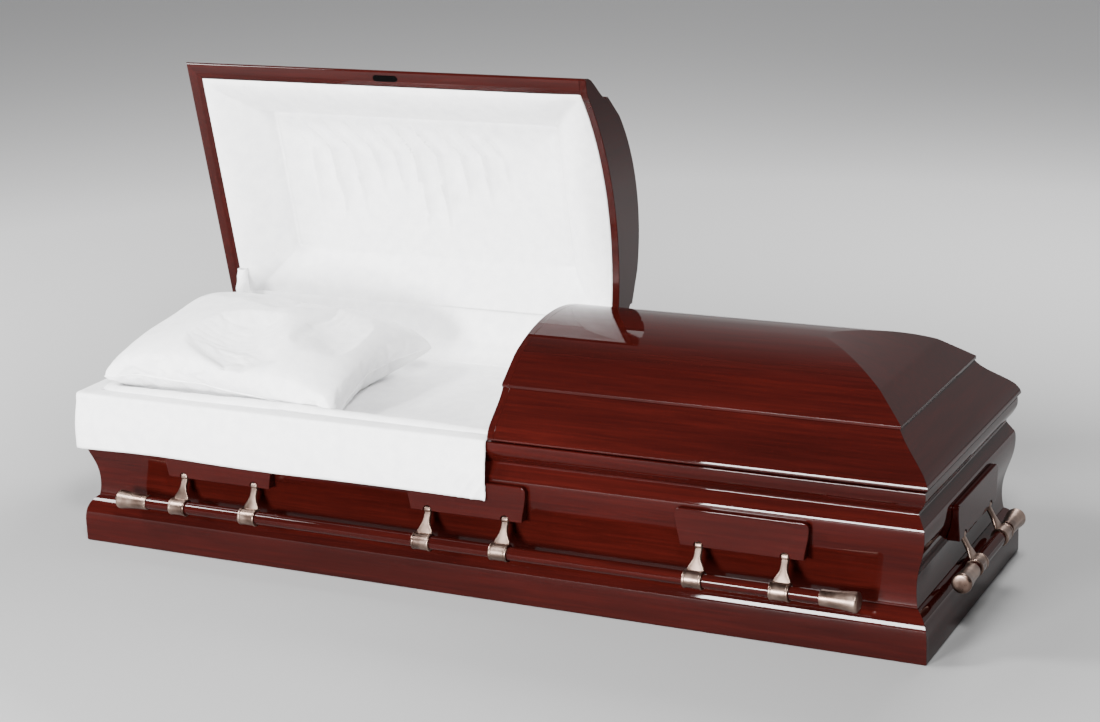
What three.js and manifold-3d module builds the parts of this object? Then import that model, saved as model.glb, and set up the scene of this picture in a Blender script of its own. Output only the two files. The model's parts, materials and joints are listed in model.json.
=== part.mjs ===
// A hardwood casket with a lid in two halves. The head half stands open on its back hinge and the
// foot half is closed. Millimetres, +Z up, head end at -X, front at -Y, standing on Z = 0.

import * as THREE from 'three';
import { mergeVertices } from 'three/addons/utils/BufferGeometryUtils.js';
import Module from 'manifold-3d';

const wasm = await Module();
wasm.setup();

// Overall plan, measured over the nose of the lid
const noseLength = 2130;
const noseWidth = 712;
const splitX = 59;              // where the lid is cut across
const lidCutGap = 3;            // between the two halves of the lid
const pieceGap = 0.3;           // between pieces that touch

// Heights
const baseHeight = 112;
const rimHeight = 376;          // top of the body
const lidClearance = 4;         // shadow line between the rim and the lid
const stepRise = 100;           // from the lid's underside to the crown's seat on the rails
const creaseRise = 51;          // from the crown's lip up to its crease
const crownRise = 50;           // and from the crease up to its ridge

// Base, and the body's panels
const wallInset = 50;           // inner face of the panels, in from the nose
const floorThickness = 15;
const baseSeatInset = 27;       // outer edge of the flat that the panels stand on
const baseShoulderHeight = 45;  // the base is upright up to here
const baseEdge = 5;             // softened lower edge
const baseFullness = 33;        // how far the upright leads into the shoulder's curve
const baseLean = 6;             // and where the curve is aimed before it lies back
const baseFall = 14;
const panelSet = 1;             // the panels' foot, in from the edge of that flat
const waistInset = 32;          // deepest part of the hollow
const waistRise = 38;           // and its height over the base
const waistLead = 22;           // lead of the curve below the waist
const hollowLead = 58;          // lead of the long curve from waist to bulge, at both its ends
const bulgeInset = 8.5;         // proudest part of the panel
const bulgeDrop = 97;           // and its depth under the rim, as for each drop below
const bulgeLead = 12;
const shoulderInset = 12;
const shoulderDrop = 79;
const neckInset = 26;
const neckLowDrop = 56;
const neckHighDrop = 51;
const bandInset = 6;            // upright band under the lid
const bandDrop = 16;
const coveSet = 2;             // corner that the cove under the band curves towards
const coveRise = 20;
const bandEdge = 4;

// Ears: wooden blocks that carry the handles
const earWidth = 304;
const earRise = 3;              // top of the ears, above the proudest part of the panel
const earHeight = 84;
const earProud = 5;            // how far the face stands out past the nose
const earCorner = 14;
const earEndInset = 405;        // centres of the outer ears on the sides, in from the ends

// Handles
const hingeInset = 4;
const hingeRise = 2;            // hinge line, above the ears' lower edge
const barProud = 31;            // bar centre, out past the nose
const barDrop = 66;             // and below the hinge line
const barRadius = 15.5;
const armOffset = 98;           // arms, each side of an ear's centre
const sideBarPast = 89;         // how far the side bars run past their last arms
const endBarPast = 35;          // and the end bars past theirs
const armThickness = 9;
const knuckleRadius = 9;
const knuckleWidth = 18;
const notchClearance = 1.5;
const cutPast = 2;              // how far a cut runs past what it cuts
const bandWidth = 44;           // sleeve round the bar
const bandWall = 3.6;
const bladeNarrow = 0.55;       // shares of an arm's length where its flare begins,
const bladeWiden = 0.6;         // widens
const bladeShoulder = 0.8;      // and is full
const bladeTuck = 0.7;          // share of the flare's width that the curve is aimed at
const tipLength = 85;
const tipNeckRadius = 17;
const tipEndRadius = 23.5;
const tipStraight = 34;         // plain stretch of a tip before it flares
const tipLead = 64;             // and the point that the flare's curve is aimed at
const tipRound = 8;
const roundSides = 12;

// Lid
const railFace = 40;            // flat underside of the lid's rails
const railFaceHeight = 24;      // upright inner face above it
const railSplay = 5;            // the inner face then leans in, under the slope
const railSplayRise = 14;
const railHeel = 3;             // and turns up again at the top
const railHeelDrop = 12;
const noseEdge = 3;             // small bevel under the nose
const noseRise = 31;            // rounded part of the nose
const noseDepth = 14;
const noseLead = 14;
const slopeLeadIn = 31;         // leads of the slope's curve, out of the nose
const slopeLeadUp = 29;
const slopeEndOut = 17;         // and into the foot of the crown
const slopeEndDown = 28;
const notchInset = 87;          // foot of the crown, under its lip
const lipInset = 82.5;
const lipHeight = 7;
const railTopWidth = 19;
const creaseInset = 150;        // between the crown's flat flank and its arch
const crownThickness = 14;
const headerThickness = 18;
const archRise = 74;            // arched cut-out in the header boards
const hingeBehind = 5;          // hinge line, behind the lid's nose
const hingeAbove = 4;           // and above the lid's underside
const openAngle = 78.8;

// Soft pieces
const platformDrop = 136;       // top of the platform, below the rim
const platformBoard = 12;
const runnerThickness = 18;
const platformInset = 58;
const mattressInset = 56;
const mattressHeight = 104;
const mattressRound = 22;
const clothThickness = 3;
const clothGap = 0.4;
const apronHemDrop = 136;       // the apron's lower edge, below the rim
const apronTuckDrop = 28;       // its inner edge, beside the mattress
const apronBreakDrop = 24;      // and where it leaves the band
const apronEarGap = 1;          // room between it and the ears
const apronShort = 2;           // how far it stops before the cut in the lid
const pillowLength = 610;
const pillowDepth = 430;
const pillowCrown = 132;
const pillowSeam = 32;          // height of the seam above the mattress
const pillowHeadInset = 66;     // the pillow's ends, in from the nose at the head
const pillowFrontInset = 69;    // and at the front
const pillowSquareness = 0.55;  // 1 would give an oval plan, and 0 a rectangle
const pillowFullness = 0.8;     // how steeply the top rises from the seam
const liningGap = 1.5;
const liningRollInset = 22;     // the padded slope starts here, in from the rail
const liningRollRise = 24;
const liningRollHeader = 18;    // and here, in from the header
const liningFoldInset = 165;    // fold between the slope and the panel
const liningFoldRise = 104;
const liningFoldHeader = 115;
const liningPanelInset = 240;   // flat middle of the panel
const liningPanelRise = 122;
const liningPanelHeader = 190;
const liningBackDrop = 6;       // clear of the crown behind the fold
const liningTopDrop = 30;       // and behind the panel
const liningBackHeader = 8;
const liningTopHeader = 60;

const halfLength = noseLength / 2;
const halfWidth = noseWidth / 2;
const lidBottom = rimHeight + lidClearance;
const stepHeight = lidBottom + stepRise;
const creaseHeight = stepHeight + lipHeight + creaseRise;
const crownHeight = creaseHeight + crownRise;
const waistHeight = baseHeight + waistRise;
const bulgeHeight = rimHeight - bulgeDrop;
const shoulderHeight = rimHeight - shoulderDrop;
const neckLow = rimHeight - neckLowDrop;
const neckHigh = rimHeight - neckHighDrop;
const bandLow = rimHeight - bandDrop;
const earTop = bulgeHeight + earRise;
const earBottom = earTop - earHeight;
const hingeHeight = earBottom + hingeRise;
const barHeight = hingeHeight - barDrop;
const earPitch = halfLength - earEndInset;
const sideBarHalf = earPitch + armOffset + sideBarPast;
const endBarHalf = armOffset + endBarPast;
const pillowX = pillowHeadInset + pillowLength / 2 - halfLength;
const pillowY = pillowFrontInset + pillowDepth / 2 - halfWidth;
const platformHeight = rimHeight - platformDrop;
const apronHem = rimHeight - apronHemDrop;
const apronTuck = rimHeight - apronTuckDrop;
const apronBreak = rimHeight - apronBreakDrop;
const headCut = splitX - lidCutGap / 2;
const footCut = splitX + lidCutGap / 2;
const mitreGap = pieceGap / Math.SQRT2;

const colours = {
  cherry: { color: 0x4a1410, roughness: 0.18, metalness: 0 },
  board: { color: 0x6d4b36, roughness: 0.7, metalness: 0 },
  nickel: { color: 0x9a857d, roughness: 0.35, metalness: 1 },
  cloth: { color: 0xf0f0f0, roughness: 0.9, metalness: 0 },
};

// The four sides of the casket. Each is drawn as the front and turned about Z.
const sides = {
  front: { turn: 0, out: halfWidth, run: halfLength },
  foot: { turn: Math.PI / 2, out: halfLength, run: halfWidth },
  back: { turn: Math.PI, out: halfWidth, run: halfLength },
  head: { turn: -Math.PI / 2, out: halfLength, run: halfWidth },
};

// Merges shared corners, and turns the faces outwards where a mapping has turned them in.
function closed(geometry) {
  const bare = geometry.clone();
  bare.deleteAttribute('normal');
  bare.deleteAttribute('uv');
  const merged = mergeVertices(bare, 1e-3);
  const place = merged.attributes.position;
  const index = merged.index.array;
  const a = new THREE.Vector3();
  const b = new THREE.Vector3();
  const c = new THREE.Vector3();
  let volume = 0;
  for (let i = 0; i < index.length; i += 3) {
    a.fromBufferAttribute(place, index[i]);
    b.fromBufferAttribute(place, index[i + 1]);
    c.fromBufferAttribute(place, index[i + 2]);
    volume += a.dot(b.cross(c));
  }
  if (volume < 0) {
    for (let i = 0; i < index.length; i += 3) {
      [index[i], index[i + 1]] = [index[i + 1], index[i]];
    }
  }
  merged.computeVertexNormals();
  return merged;
}

function toManifold(geometry) {
  const body = closed(geometry);
  return new wasm.Manifold(new wasm.Mesh({
    numProp: 3,
    vertProperties: new Float32Array(body.attributes.position.array),
    triVerts: new Uint32Array(body.index.array),
  }));
}

function fromManifold(body) {
  const mesh = body.getMesh();
  const geometry = new THREE.BufferGeometry();
  geometry.setAttribute('position', new THREE.BufferAttribute(mesh.vertProperties, 3));
  geometry.setIndex(new THREE.BufferAttribute(mesh.triVerts, 1));
  geometry.computeVertexNormals();
  return geometry;
}

// Carries a closed outline one step along and places each of its corners with a function
// of the outline's own coordinates and of how far along it is, from 0 to 1.
function sweep(outline, place) {
  const geometry = new THREE.ExtrudeGeometry(new THREE.Shape(outline), { depth: 1, bevelEnabled: false });
  const position = geometry.attributes.position;
  for (let i = 0; i < position.count; i += 1) {
    const [x, y, z] = place(position.getX(i), position.getY(i), position.getZ(i));
    position.setXYZ(i, x, y, z);
  }
  return closed(geometry);
}

// A moulding drawn as on the front: the outline holds insets from the nose and heights.
function moulding(outline, out, from, to) {
  return sweep(outline, (inset, height, along) => [
    along < 0.5 ? from(inset) : to(inset),
    inset - out,
    height,
  ]);
}

const mitreStart = (run) => (inset) => inset + mitreGap - run;
const mitreEnd = (run) => (inset) => run - inset - mitreGap;
const squareAt = (x) => () => x;

function mesh(name, geometry, finish) {
  const piece = new THREE.Mesh(geometry, new THREE.MeshStandardMaterial(colours[finish]));
  piece.name = name;
  return piece;
}

function points(...pairs) {
  return pairs.map(([x, y]) => new THREE.Vector2(x, y));
}

// The base: upright, softened below, with a rounded shoulder rising to the seat of the panels.
function baseOutline() {
  const path = new THREE.Path();
  path.moveTo(wallInset, 0);
  path.lineTo(baseEdge, 0);
  path.quadraticCurveTo(0, 0, 0, baseEdge);
  path.lineTo(0, baseShoulderHeight);
  path.bezierCurveTo(
    0, baseShoulderHeight + baseFullness,
    baseLean, baseHeight - baseFall,
    baseSeatInset, baseHeight,
  );
  path.lineTo(wallInset, baseHeight);
  return path.getPoints(5);
}

// Outer face of a panel from the seat up to the rim: hollow, bulge, shoulder, neck and band.
function panelFace() {
  const path = new THREE.Path();
  path.moveTo(baseSeatInset + panelSet, baseHeight + pieceGap);
  path.quadraticCurveTo(waistInset, waistHeight - waistLead, waistInset, waistHeight);
  path.bezierCurveTo(
    waistInset, waistHeight + hollowLead,
    bulgeInset, bulgeHeight - hollowLead,
    bulgeInset, bulgeHeight,
  );
  path.quadraticCurveTo(bulgeInset, bulgeHeight + bulgeLead, shoulderInset, shoulderHeight);
  path.lineTo(neckInset, neckLow);
  path.lineTo(neckInset, neckHigh);
  path.quadraticCurveTo(bandInset + coveSet, neckHigh + coveRise, bandInset, bandLow);
  path.lineTo(bandInset, rimHeight - bandEdge);
  path.quadraticCurveTo(bandInset, rimHeight, bandInset + bandEdge, rimHeight);
  return path.getPoints(6);
}

function panelOutline() {
  return [
    ...panelFace(),
    ...points([wallInset, rimHeight], [wallInset, baseHeight + pieceGap]),
  ];
}

// How far in the panel's face lies at a height, between the corners of its outline.
function faceInset(height) {
  const face = panelFace();
  for (let i = 1; i < face.length; i += 1) {
    const low = face[i - 1];
    const high = face[i];
    if (height >= low.y && height <= high.y && high.y > low.y) {
      return low.x + (high.x - low.x) * (height - low.y) / (high.y - low.y);
    }
  }
  return wallInset;
}

function bodySides() {
  const group = new THREE.Group();
  for (const [name, side] of Object.entries(sides)) {
    const start = mitreStart(side.run);
    const end = mitreEnd(side.run);
    const base = mesh(`base_${name}`, moulding(baseOutline(), side.out, start, end), 'cherry');
    const panel = mesh(`panel_${name}`, moulding(panelOutline(), side.out, start, end), 'cherry');
    base.rotation.z = side.turn;
    panel.rotation.z = side.turn;
    group.add(base, panel);
  }
  return group;
}

function box(x0, x1, y0, y1, z0, z1) {
  const geometry = new THREE.BoxGeometry(x1 - x0, y1 - y0, z1 - z0);
  geometry.translate((x0 + x1) / 2, (y0 + y1) / 2, (z0 + z1) / 2);
  return geometry;
}

function bottomBoard() {
  const x = halfLength - wallInset - pieceGap;
  const y = halfWidth - wallInset - pieceGap;
  return mesh('bottom_board', closed(box(-x, x, -y, y, 0, floorThickness)), 'board');
}

// An ear is cut to a rounded outline, fits the panel behind it and is notched for two knuckles.
function earSolid(out) {
  const back = [];
  const steps = 8;
  for (let i = 0; i <= steps; i += 1) {
    const height = earTop - (earTop - earBottom) * i / steps;
    back.push(new THREE.Vector2(faceInset(height) - pieceGap, height));
  }
  const section = [...points([-earProud, earBottom], [-earProud, earTop]), ...back];
  const half = earWidth / 2;
  const block = moulding(section, out, squareAt(-half), squareAt(half));
  const front = new THREE.Shape();
  front.moveTo(-half, earBottom - cutPast);
  front.lineTo(half, earBottom - cutPast);
  front.lineTo(half, earTop - earCorner);
  front.quadraticCurveTo(half, earTop, half - earCorner, earTop);
  front.lineTo(earCorner - half, earTop);
  front.quadraticCurveTo(-half, earTop, -half, earTop - earCorner);
  const deep = wallInset + earProud;
  const plate = sweep(front.getPoints(4), (x, height, along) => [x, deep * (2 * along - 1) - out, height]);
  let ear = toManifold(block).intersect(toManifold(plate));
  const notchRadius = knuckleRadius + notchClearance;
  for (const side of [-1, 1]) {
    const x = side * armOffset;
    const eye = roundBar(notchRadius, 2 * notchRadius);
    eye.translate(x, hingeInset - out, hingeHeight);
    const [left, right] = [x - notchRadius, x + notchRadius];
    const mouth = box(left, right, -out - deep, -out + deep, earBottom - cutPast, hingeHeight);
    ear = ear.subtract(toManifold(eye)).subtract(toManifold(mouth));
  }
  return fromManifold(ear);
}

function earPlaces(name) {
  return sides[name].run > halfWidth ? [-earPitch, 0, earPitch] : [0];
}

function ears() {
  const group = new THREE.Group();
  for (const [name, side] of Object.entries(sides)) {
    earPlaces(name).forEach((x, i) => {
      const ear = mesh(`ear_${name}_${i + 1}`, earSolid(side.out), 'cherry');
      const turned = new THREE.Group();
      ear.position.x = x;
      turned.rotation.z = side.turn;
      turned.add(ear);
      group.add(turned);
    });
  }
  return group;
}

// Handles are drawn about their hinge line: X along the bar, the bar out at -Y and down.
const barY = -(barProud + hingeInset);
const barZ = barHeight - hingeHeight;
const armLean = Math.atan2(-barY, -barZ);
const armLength = Math.hypot(barY, barZ);

function roundBar(radius, length) {
  const geometry = new THREE.CylinderGeometry(radius, radius, length, roundSides);
  geometry.rotateZ(Math.PI / 2);
  return geometry;
}

// An arm: a knuckle in the ear's notch, a blade that flares downwards and a sleeve round the bar.
function armSolid() {
  const top = knuckleWidth / 2;
  const flare = bandWidth / 2;
  const along = (share) => -armLength * share;
  const tuck = flare * bladeTuck;
  const blade = new THREE.Path();
  blade.moveTo(-top, 0);
  blade.lineTo(top, 0);
  blade.bezierCurveTo(top, along(bladeNarrow), tuck, along(bladeWiden), flare, along(bladeShoulder));
  blade.lineTo(flare, -armLength);
  blade.lineTo(-flare, -armLength);
  blade.lineTo(-flare, along(bladeShoulder));
  blade.bezierCurveTo(-tuck, along(bladeWiden), -top, along(bladeNarrow), -top, 0);
  const plate = sweep(blade.getPoints(5), (x, z, deep) => [x, armThickness * (deep - 0.5), z]);
  const sleeve = roundBar(barRadius + pieceGap + bandWall, bandWidth);
  sleeve.translate(0, 0, -armLength);
  const bore = roundBar(barRadius + pieceGap, bandWidth + cutPast);
  bore.translate(0, 0, -armLength);
  const knuckle = roundBar(knuckleRadius, knuckleWidth);
  const arm = toManifold(plate).add(toManifold(sleeve)).add(toManifold(knuckle)).subtract(toManifold(bore));
  const geometry = fromManifold(arm);
  geometry.rotateX(-armLean);
  return geometry;
}

// A cast tip: a short sleeve that flares to a rounded end. Its axis is turned along +X.
function tipSolid() {
  const path = new THREE.Path();
  path.moveTo(0, 0);
  path.lineTo(tipNeckRadius, 0);
  path.lineTo(tipNeckRadius, tipStraight);
  path.quadraticCurveTo(tipNeckRadius, tipLead, tipEndRadius, tipLength - tipRound);
  path.quadraticCurveTo(tipEndRadius, tipLength, tipEndRadius - tipRound, tipLength);
  path.lineTo(0, tipLength);
  const geometry = new THREE.LatheGeometry(path.getPoints(3), roundSides);
  geometry.rotateZ(-Math.PI / 2);
  return closed(geometry);
}

function handle(name) {
  const side = sides[name];
  const long = side.run > halfWidth;
  const half = long ? sideBarHalf : endBarHalf;
  const group = new THREE.Group();
  const swing = new THREE.Group();
  group.rotation.z = side.turn;
  swing.position.set(0, hingeInset - side.out, hingeHeight);
  group.add(swing);
  const bar = mesh(`bar_${name}`, closed(roundBar(barRadius, 2 * half)), 'cherry');
  bar.position.set(0, barY, barZ);
  swing.add(bar);
  const arms = earPlaces(name).flatMap((x) => [x - armOffset, x + armOffset]);
  arms.forEach((x, i) => {
    const arm = mesh(`arm_${name}_${i + 1}`, armSolid(), 'nickel');
    arm.position.x = x;
    swing.add(arm);
  });
  for (const end of [1, 2]) {
    const tip = mesh(`tip_${name}_${end}`, tipSolid(), 'nickel');
    const outward = end === 1 ? -1 : 1;
    tip.position.set(outward * (half + pieceGap), barY, barZ);
    tip.rotation.z = end === 1 ? Math.PI : 0;
    swing.add(tip);
  }
  return group;
}

// Outer face of a lid rail, from its underside at the nose up to the foot of the crown.
function railFaceCurve() {
  const path = new THREE.Path();
  path.moveTo(noseEdge, lidBottom);
  path.lineTo(0, lidBottom + noseEdge);
  path.quadraticCurveTo(0, lidBottom + noseLead, noseDepth, lidBottom + noseRise);
  path.bezierCurveTo(
    noseDepth + slopeLeadIn, lidBottom + noseRise + slopeLeadUp,
    notchInset - slopeEndOut, stepHeight - slopeEndDown,
    notchInset, stepHeight,
  );
  return path.getPoints(6);
}

// Inner face of a rail, from the underside up to its top.
function railInside() {
  const top = notchInset + railTopWidth;
  return points(
    [railFace, lidBottom],
    [railFace, lidBottom + railFaceHeight],
    [railFace + railSplay, lidBottom + railFaceHeight + railSplayRise],
    [top - railHeel, stepHeight - railHeelDrop],
    [top, stepHeight],
  );
}

function railOutline() {
  return [...railFaceCurve(), ...railInside().reverse()];
}

// Half of the crown's outline from its foot to its ridge: lip, flat flank and arch.
function crownCurve(lip, foot, lipTop, crease, creaseTop, ridge) {
  const path = new THREE.Path();
  const span = halfWidth - crease;
  const rise = ridge - creaseTop;
  const radius = (span * span + rise * rise) / (2 * rise);
  const sweepAngle = Math.asin(span / radius);
  path.moveTo(lip, foot);
  path.lineTo(lip, lipTop);
  path.lineTo(crease, creaseTop);
  const arch = [];
  const steps = 6;
  for (let i = 1; i <= steps; i += 1) {
    const angle = sweepAngle * (1 - i / steps);
    const inset = halfWidth - radius * Math.sin(angle);
    arch.push(new THREE.Vector2(inset, ridge - radius * (1 - Math.cos(angle))));
  }
  return [...path.getPoints(), ...arch];
}

const crownFoot = stepHeight + pieceGap;
const flankTilt = Math.atan2(creaseHeight - stepHeight - lipHeight, creaseInset - lipInset);
const archTilt = 2 * Math.atan2(crownHeight - creaseHeight, halfWidth - creaseInset);

function crownOutside() {
  return crownCurve(lipInset, crownFoot, stepHeight + lipHeight, creaseInset, creaseHeight, crownHeight);
}

function crownInside() {
  const lip = notchInset + railTopWidth;
  const flankDrop = crownThickness / Math.cos(flankTilt);
  const lipTop = stepHeight + lipHeight + (lip - lipInset) * Math.tan(flankTilt) - flankDrop;
  const creaseTilt = (flankTilt + archTilt) / 2;
  const creaseShift = crownThickness * Math.sin(creaseTilt);
  const creaseDrop = crownThickness * Math.cos(creaseTilt);
  return crownCurve(
    lip, crownFoot - cutPast, lipTop,
    creaseInset + creaseShift, creaseHeight - creaseDrop, crownHeight - crownThickness,
  );
}

// A hipped dome: the arch carried lengthwise, cut by the same arch carried across at the end.
function hippedDome(half, foot, cut) {
  const across = [
    ...half.map((p) => new THREE.Vector2(p.x - halfWidth, p.y)),
    ...half.slice(0, -1).reverse().map((p) => new THREE.Vector2(halfWidth - p.x, p.y)),
  ];
  const lengthwise = sweep(across, (y, z, along) => [along < 0.5 ? cut : halfLength, y, z]);
  const ridge = half[half.length - 1];
  const endOutline = [
    ...half.map((p) => new THREE.Vector2(halfLength - p.x, p.y)),
    ...points([cut - cutPast, ridge.y], [cut - cutPast, foot]),
  ];
  const crosswise = sweep(endOutline, (x, z, along) => [x, (2 * along - 1) * halfWidth, z]);
  return toManifold(lengthwise).intersect(toManifold(crosswise));
}

function crownShell(cut) {
  const outside = hippedDome(crownOutside(), crownFoot, cut);
  const inside = hippedDome(crownInside(), crownFoot - cutPast, cut - cutPast);
  return fromManifold(outside.subtract(inside));
}

// The board that closes a half lid where it is cut: the lid's full outline over a flat arch.
function archHeight(y) {
  const half = halfWidth - railFace;
  const radius = (half * half + archRise * archRise) / (2 * archRise);
  return lidBottom + archRise - radius + Math.sqrt(radius * radius - y * y);
}

function headerBoard(x0, x1) {
  const half = [
    ...railFaceCurve(),
    ...crownOutside(),
  ];
  const arch = [];
  const steps = 12;
  for (let i = 0; i <= steps; i += 1) {
    const y = (halfWidth - railFace) * (1 - 2 * i / steps);
    arch.push(new THREE.Vector2(y, archHeight(y)));
  }
  const outline = [
    ...half.map((p) => new THREE.Vector2(p.x - halfWidth, p.y)),
    ...half.slice(0, -1).reverse().map((p) => new THREE.Vector2(halfWidth - p.x, p.y)),
    ...arch,
  ];
  return sweep(outline, (y, z, along) => [along < 0.5 ? x0 : x1, y, z]);
}

// A half lid in its closed place. Its rails are mitred at the end and square at the cut.
function halfLid(end, cut) {
  const group = new THREE.Group();
  const outward = end === 'foot' ? 1 : -1;
  const shellCut = cut + outward * (headerThickness + pieceGap);
  const outline = railOutline();
  const corner = [mitreStart(halfLength), mitreEnd(halfLength)];
  const ends = {
    front: outward > 0 ? [squareAt(shellCut), corner[1]] : [corner[0], squareAt(shellCut)],
    back: outward > 0 ? [corner[0], squareAt(-shellCut)] : [squareAt(-shellCut), corner[1]],
    [end]: [mitreStart(halfWidth), mitreEnd(halfWidth)],
  };
  for (const [name, [from, to]] of Object.entries(ends)) {
    const label = name === end ? 'end' : name;
    const rail = mesh(`${end}_lid_rail_${label}`, moulding(outline, sides[name].out, from, to), 'cherry');
    rail.rotation.z = sides[name].turn;
    group.add(rail);
  }
  const crown = mesh(`${end}_lid_crown`, crownShell(outward * shellCut), 'cherry');
  crown.rotation.z = end === 'foot' ? 0 : Math.PI;
  group.add(crown);
  const inner = cut + outward * headerThickness;
  const board = headerBoard(Math.min(cut, inner), Math.max(cut, inner));
  group.add(mesh(`${end}_lid_header`, board, 'cherry'));
  return group;
}

// Rectangular rings joined one to the next, with the first and last closed. The side of each
// ring at high X is broken into short stretches, so that it can follow the header's arch.
function ringStack(rings) {
  const stretches = 6;
  const position = [];
  for (const ring of rings) {
    position.push(ring.x0, ring.y, ring.z, ring.x0, -ring.y, ring.z);
    for (let i = 0; i <= stretches; i += 1) {
      const y = ring.y * (2 * i / stretches - 1);
      const lift = (archHeight(y) - lidBottom) * ring.follow;
      position.push(ring.x1, y, ring.z + lift);
    }
  }
  const count = stretches + 3;
  const index = [];
  for (let r = 0; r + 1 < rings.length; r += 1) {
    for (let i = 0; i < count; i += 1) {
      const next = (i + 1) % count;
      const a = r * count + i;
      const b = r * count + next;
      index.push(a, b, b + count, a, b + count, a + count);
    }
  }
  const last = (rings.length - 1) * count;
  for (let i = 1; i + 1 < count; i += 1) {
    index.push(0, i + 1, i);
    index.push(last, last + i, last + i + 1);
  }
  const geometry = new THREE.BufferGeometry();
  geometry.setAttribute('position', new THREE.Float32BufferAttribute(position, 3));
  geometry.setIndex(index);
  return closed(geometry);
}

// The lid's lining: a padded slope all round and a flatter panel, hung inside the head half.
function headLining() {
  const rim = lidBottom + liningGap;
  const edge = railFace + liningGap;
  const header = headCut - headerThickness - liningGap;
  const ring = (inset, fromHeader, z, follow) => ({
    x0: inset - halfLength,
    x1: header - fromHeader,
    y: halfWidth - inset,
    z,
    follow,
  });
  const heel = stepHeight - railHeelDrop - liningGap;
  const following = (z) => Math.max(0, (heel - z) / (heel - rim));
  const against = railInside().slice(1).map((p) => {
    const z = p.y - liningGap;
    return ring(p.x + liningGap, 0, z, following(z));
  });
  const rollTop = rim + liningRollRise;
  const underCrown = creaseHeight - crownThickness - liningBackDrop;
  const underRidge = crownHeight - crownThickness - liningTopDrop;
  const rings = [
    ring(liningPanelInset, liningPanelHeader, lidBottom + liningPanelRise, 0),
    ring(liningFoldInset, liningFoldHeader, lidBottom + liningFoldRise, 0),
    ring(edge + liningRollInset, liningRollHeader, rollTop, following(rollTop)),
    ring(edge, 0, rim, 1),
    ...against,
    ring(liningFoldInset, liningBackHeader, underCrown, 0),
    ring(liningPanelInset, liningTopHeader, underRidge, 0),
  ];
  return mesh('head_lid_lining', ringStack(rings), 'cloth');
}

// The platform and mattress run the length of the body.
function bedPlatform() {
  const outer = halfWidth - platformInset;
  const inner = outer - runnerThickness;
  const low = floorThickness + pieceGap;
  const under = platformHeight - platformBoard;
  const reach = halfLength - platformInset;
  const outline = points(
    [-outer, low], [-inner, low], [-inner, under], [inner, under],
    [inner, low], [outer, low], [outer, platformHeight], [-outer, platformHeight],
  );
  return mesh('bed_platform', sweep(outline, (y, z, along) => [reach * (2 * along - 1), y, z]), 'board');
}

const mattressTop = platformHeight + pieceGap + mattressHeight;

function mattress() {
  const x = halfLength - mattressInset;
  const y = halfWidth - mattressInset;
  const r = mattressRound;
  const low = platformHeight + pieceGap;
  const outline = new THREE.Shape();
  outline.moveTo(-y, low);
  outline.lineTo(y, low);
  outline.lineTo(y, mattressTop - r);
  outline.quadraticCurveTo(y, mattressTop, y - r, mattressTop);
  outline.lineTo(r - y, mattressTop);
  outline.quadraticCurveTo(-y, mattressTop, -y, mattressTop - r);
  const geometry = sweep(outline.getPoints(4), (across, z, along) => [x * (2 * along - 1), across, z]);
  return mesh('mattress', geometry, 'cloth');
}

// The apron lies over the rim at the front and the head, and hangs in front of the ears. Its
// two parts meet in a mitre at the corner, and it stops square at the back and at the lid's cut.
function apronOutline() {
  const t = clothThickness;
  const overRim = rimHeight + clothGap;
  const inside = wallInset + clothGap;
  const face = bandInset - clothGap;
  const hangs = -(earProud + apronEarGap);
  return points(
    [inside + t, apronTuck], [inside + t, overRim + t], [face - t, overRim + t],
    [face - t, apronBreak], [hangs - t, earTop], [hangs - t, apronHem],
    [hangs, apronHem], [hangs, earTop], [face, apronBreak],
    [face, overRim], [inside, overRim], [inside, apronTuck],
  );
}

function apron() {
  const outline = apronOutline();
  const corner = (inset) => inset - halfLength;
  const front = moulding(outline, halfWidth, corner, squareAt(headCut - apronShort));
  const frontCorner = (inset) => halfWidth - inset;
  const head = moulding(outline, halfLength, squareAt(wallInset - halfWidth), frontCorner);
  head.rotateZ(-Math.PI / 2);
  return mesh('apron', fromManifold(toManifold(front).add(toManifold(head))), 'cloth');
}

// A plump pillow: a sphere drawn out to a rounded rectangle that thins towards its seam.
function pillow() {
  const geometry = new THREE.SphereGeometry(1, 20, 10);
  geometry.rotateX(Math.PI / 2);
  const position = geometry.attributes.position;
  for (let i = 0; i < position.count; i += 1) {
    const x = position.getX(i);
    const y = position.getY(i);
    const z = position.getZ(i);
    const flat = Math.hypot(x, y);
    const angle = Math.atan2(y, x);
    const reach = Math.min(1, flat) ** pillowFullness;
    const rounded = (value) => Math.sign(value) * Math.abs(value) ** pillowSquareness;
    const height = z > 0 ? z * (pillowCrown - pillowSeam) : z * (pillowSeam - pieceGap);
    position.setXYZ(
      i,
      reach * rounded(Math.cos(angle)) * pillowLength / 2,
      reach * rounded(Math.sin(angle)) * pillowDepth / 2,
      height + pillowSeam,
    );
  }
  const piece = mesh('pillow', closed(geometry), 'cloth');
  piece.position.set(pillowX, pillowY, mattressTop);
  return piece;
}

// A hinged half lid, turned open about the hinge line along the back.
function hinged(lid, degrees) {
  const y = halfWidth + hingeBehind;
  const z = lidBottom + hingeAbove;
  const pivot = new THREE.Group();
  pivot.position.set(0, y, z);
  pivot.rotation.x = -THREE.MathUtils.degToRad(degrees);
  lid.position.set(0, -y, -z);
  pivot.add(lid);
  return pivot;
}

const casket = new THREE.Group();
casket.add(bottomBoard(), bodySides(), ears(), bedPlatform(), mattress(), apron(), pillow());
for (const name of Object.keys(sides)) {
  casket.add(handle(name));
}
const headLid = halfLid('head', headCut);
headLid.add(headLining());
casket.add(hinged(headLid, openAngle));
casket.add(hinged(halfLid('foot', footCut), 0));

export default casket;
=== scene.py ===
import json
import math
import time

import bmesh
import bpy
import numpy as np
from mathutils import Matrix, Vector


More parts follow.
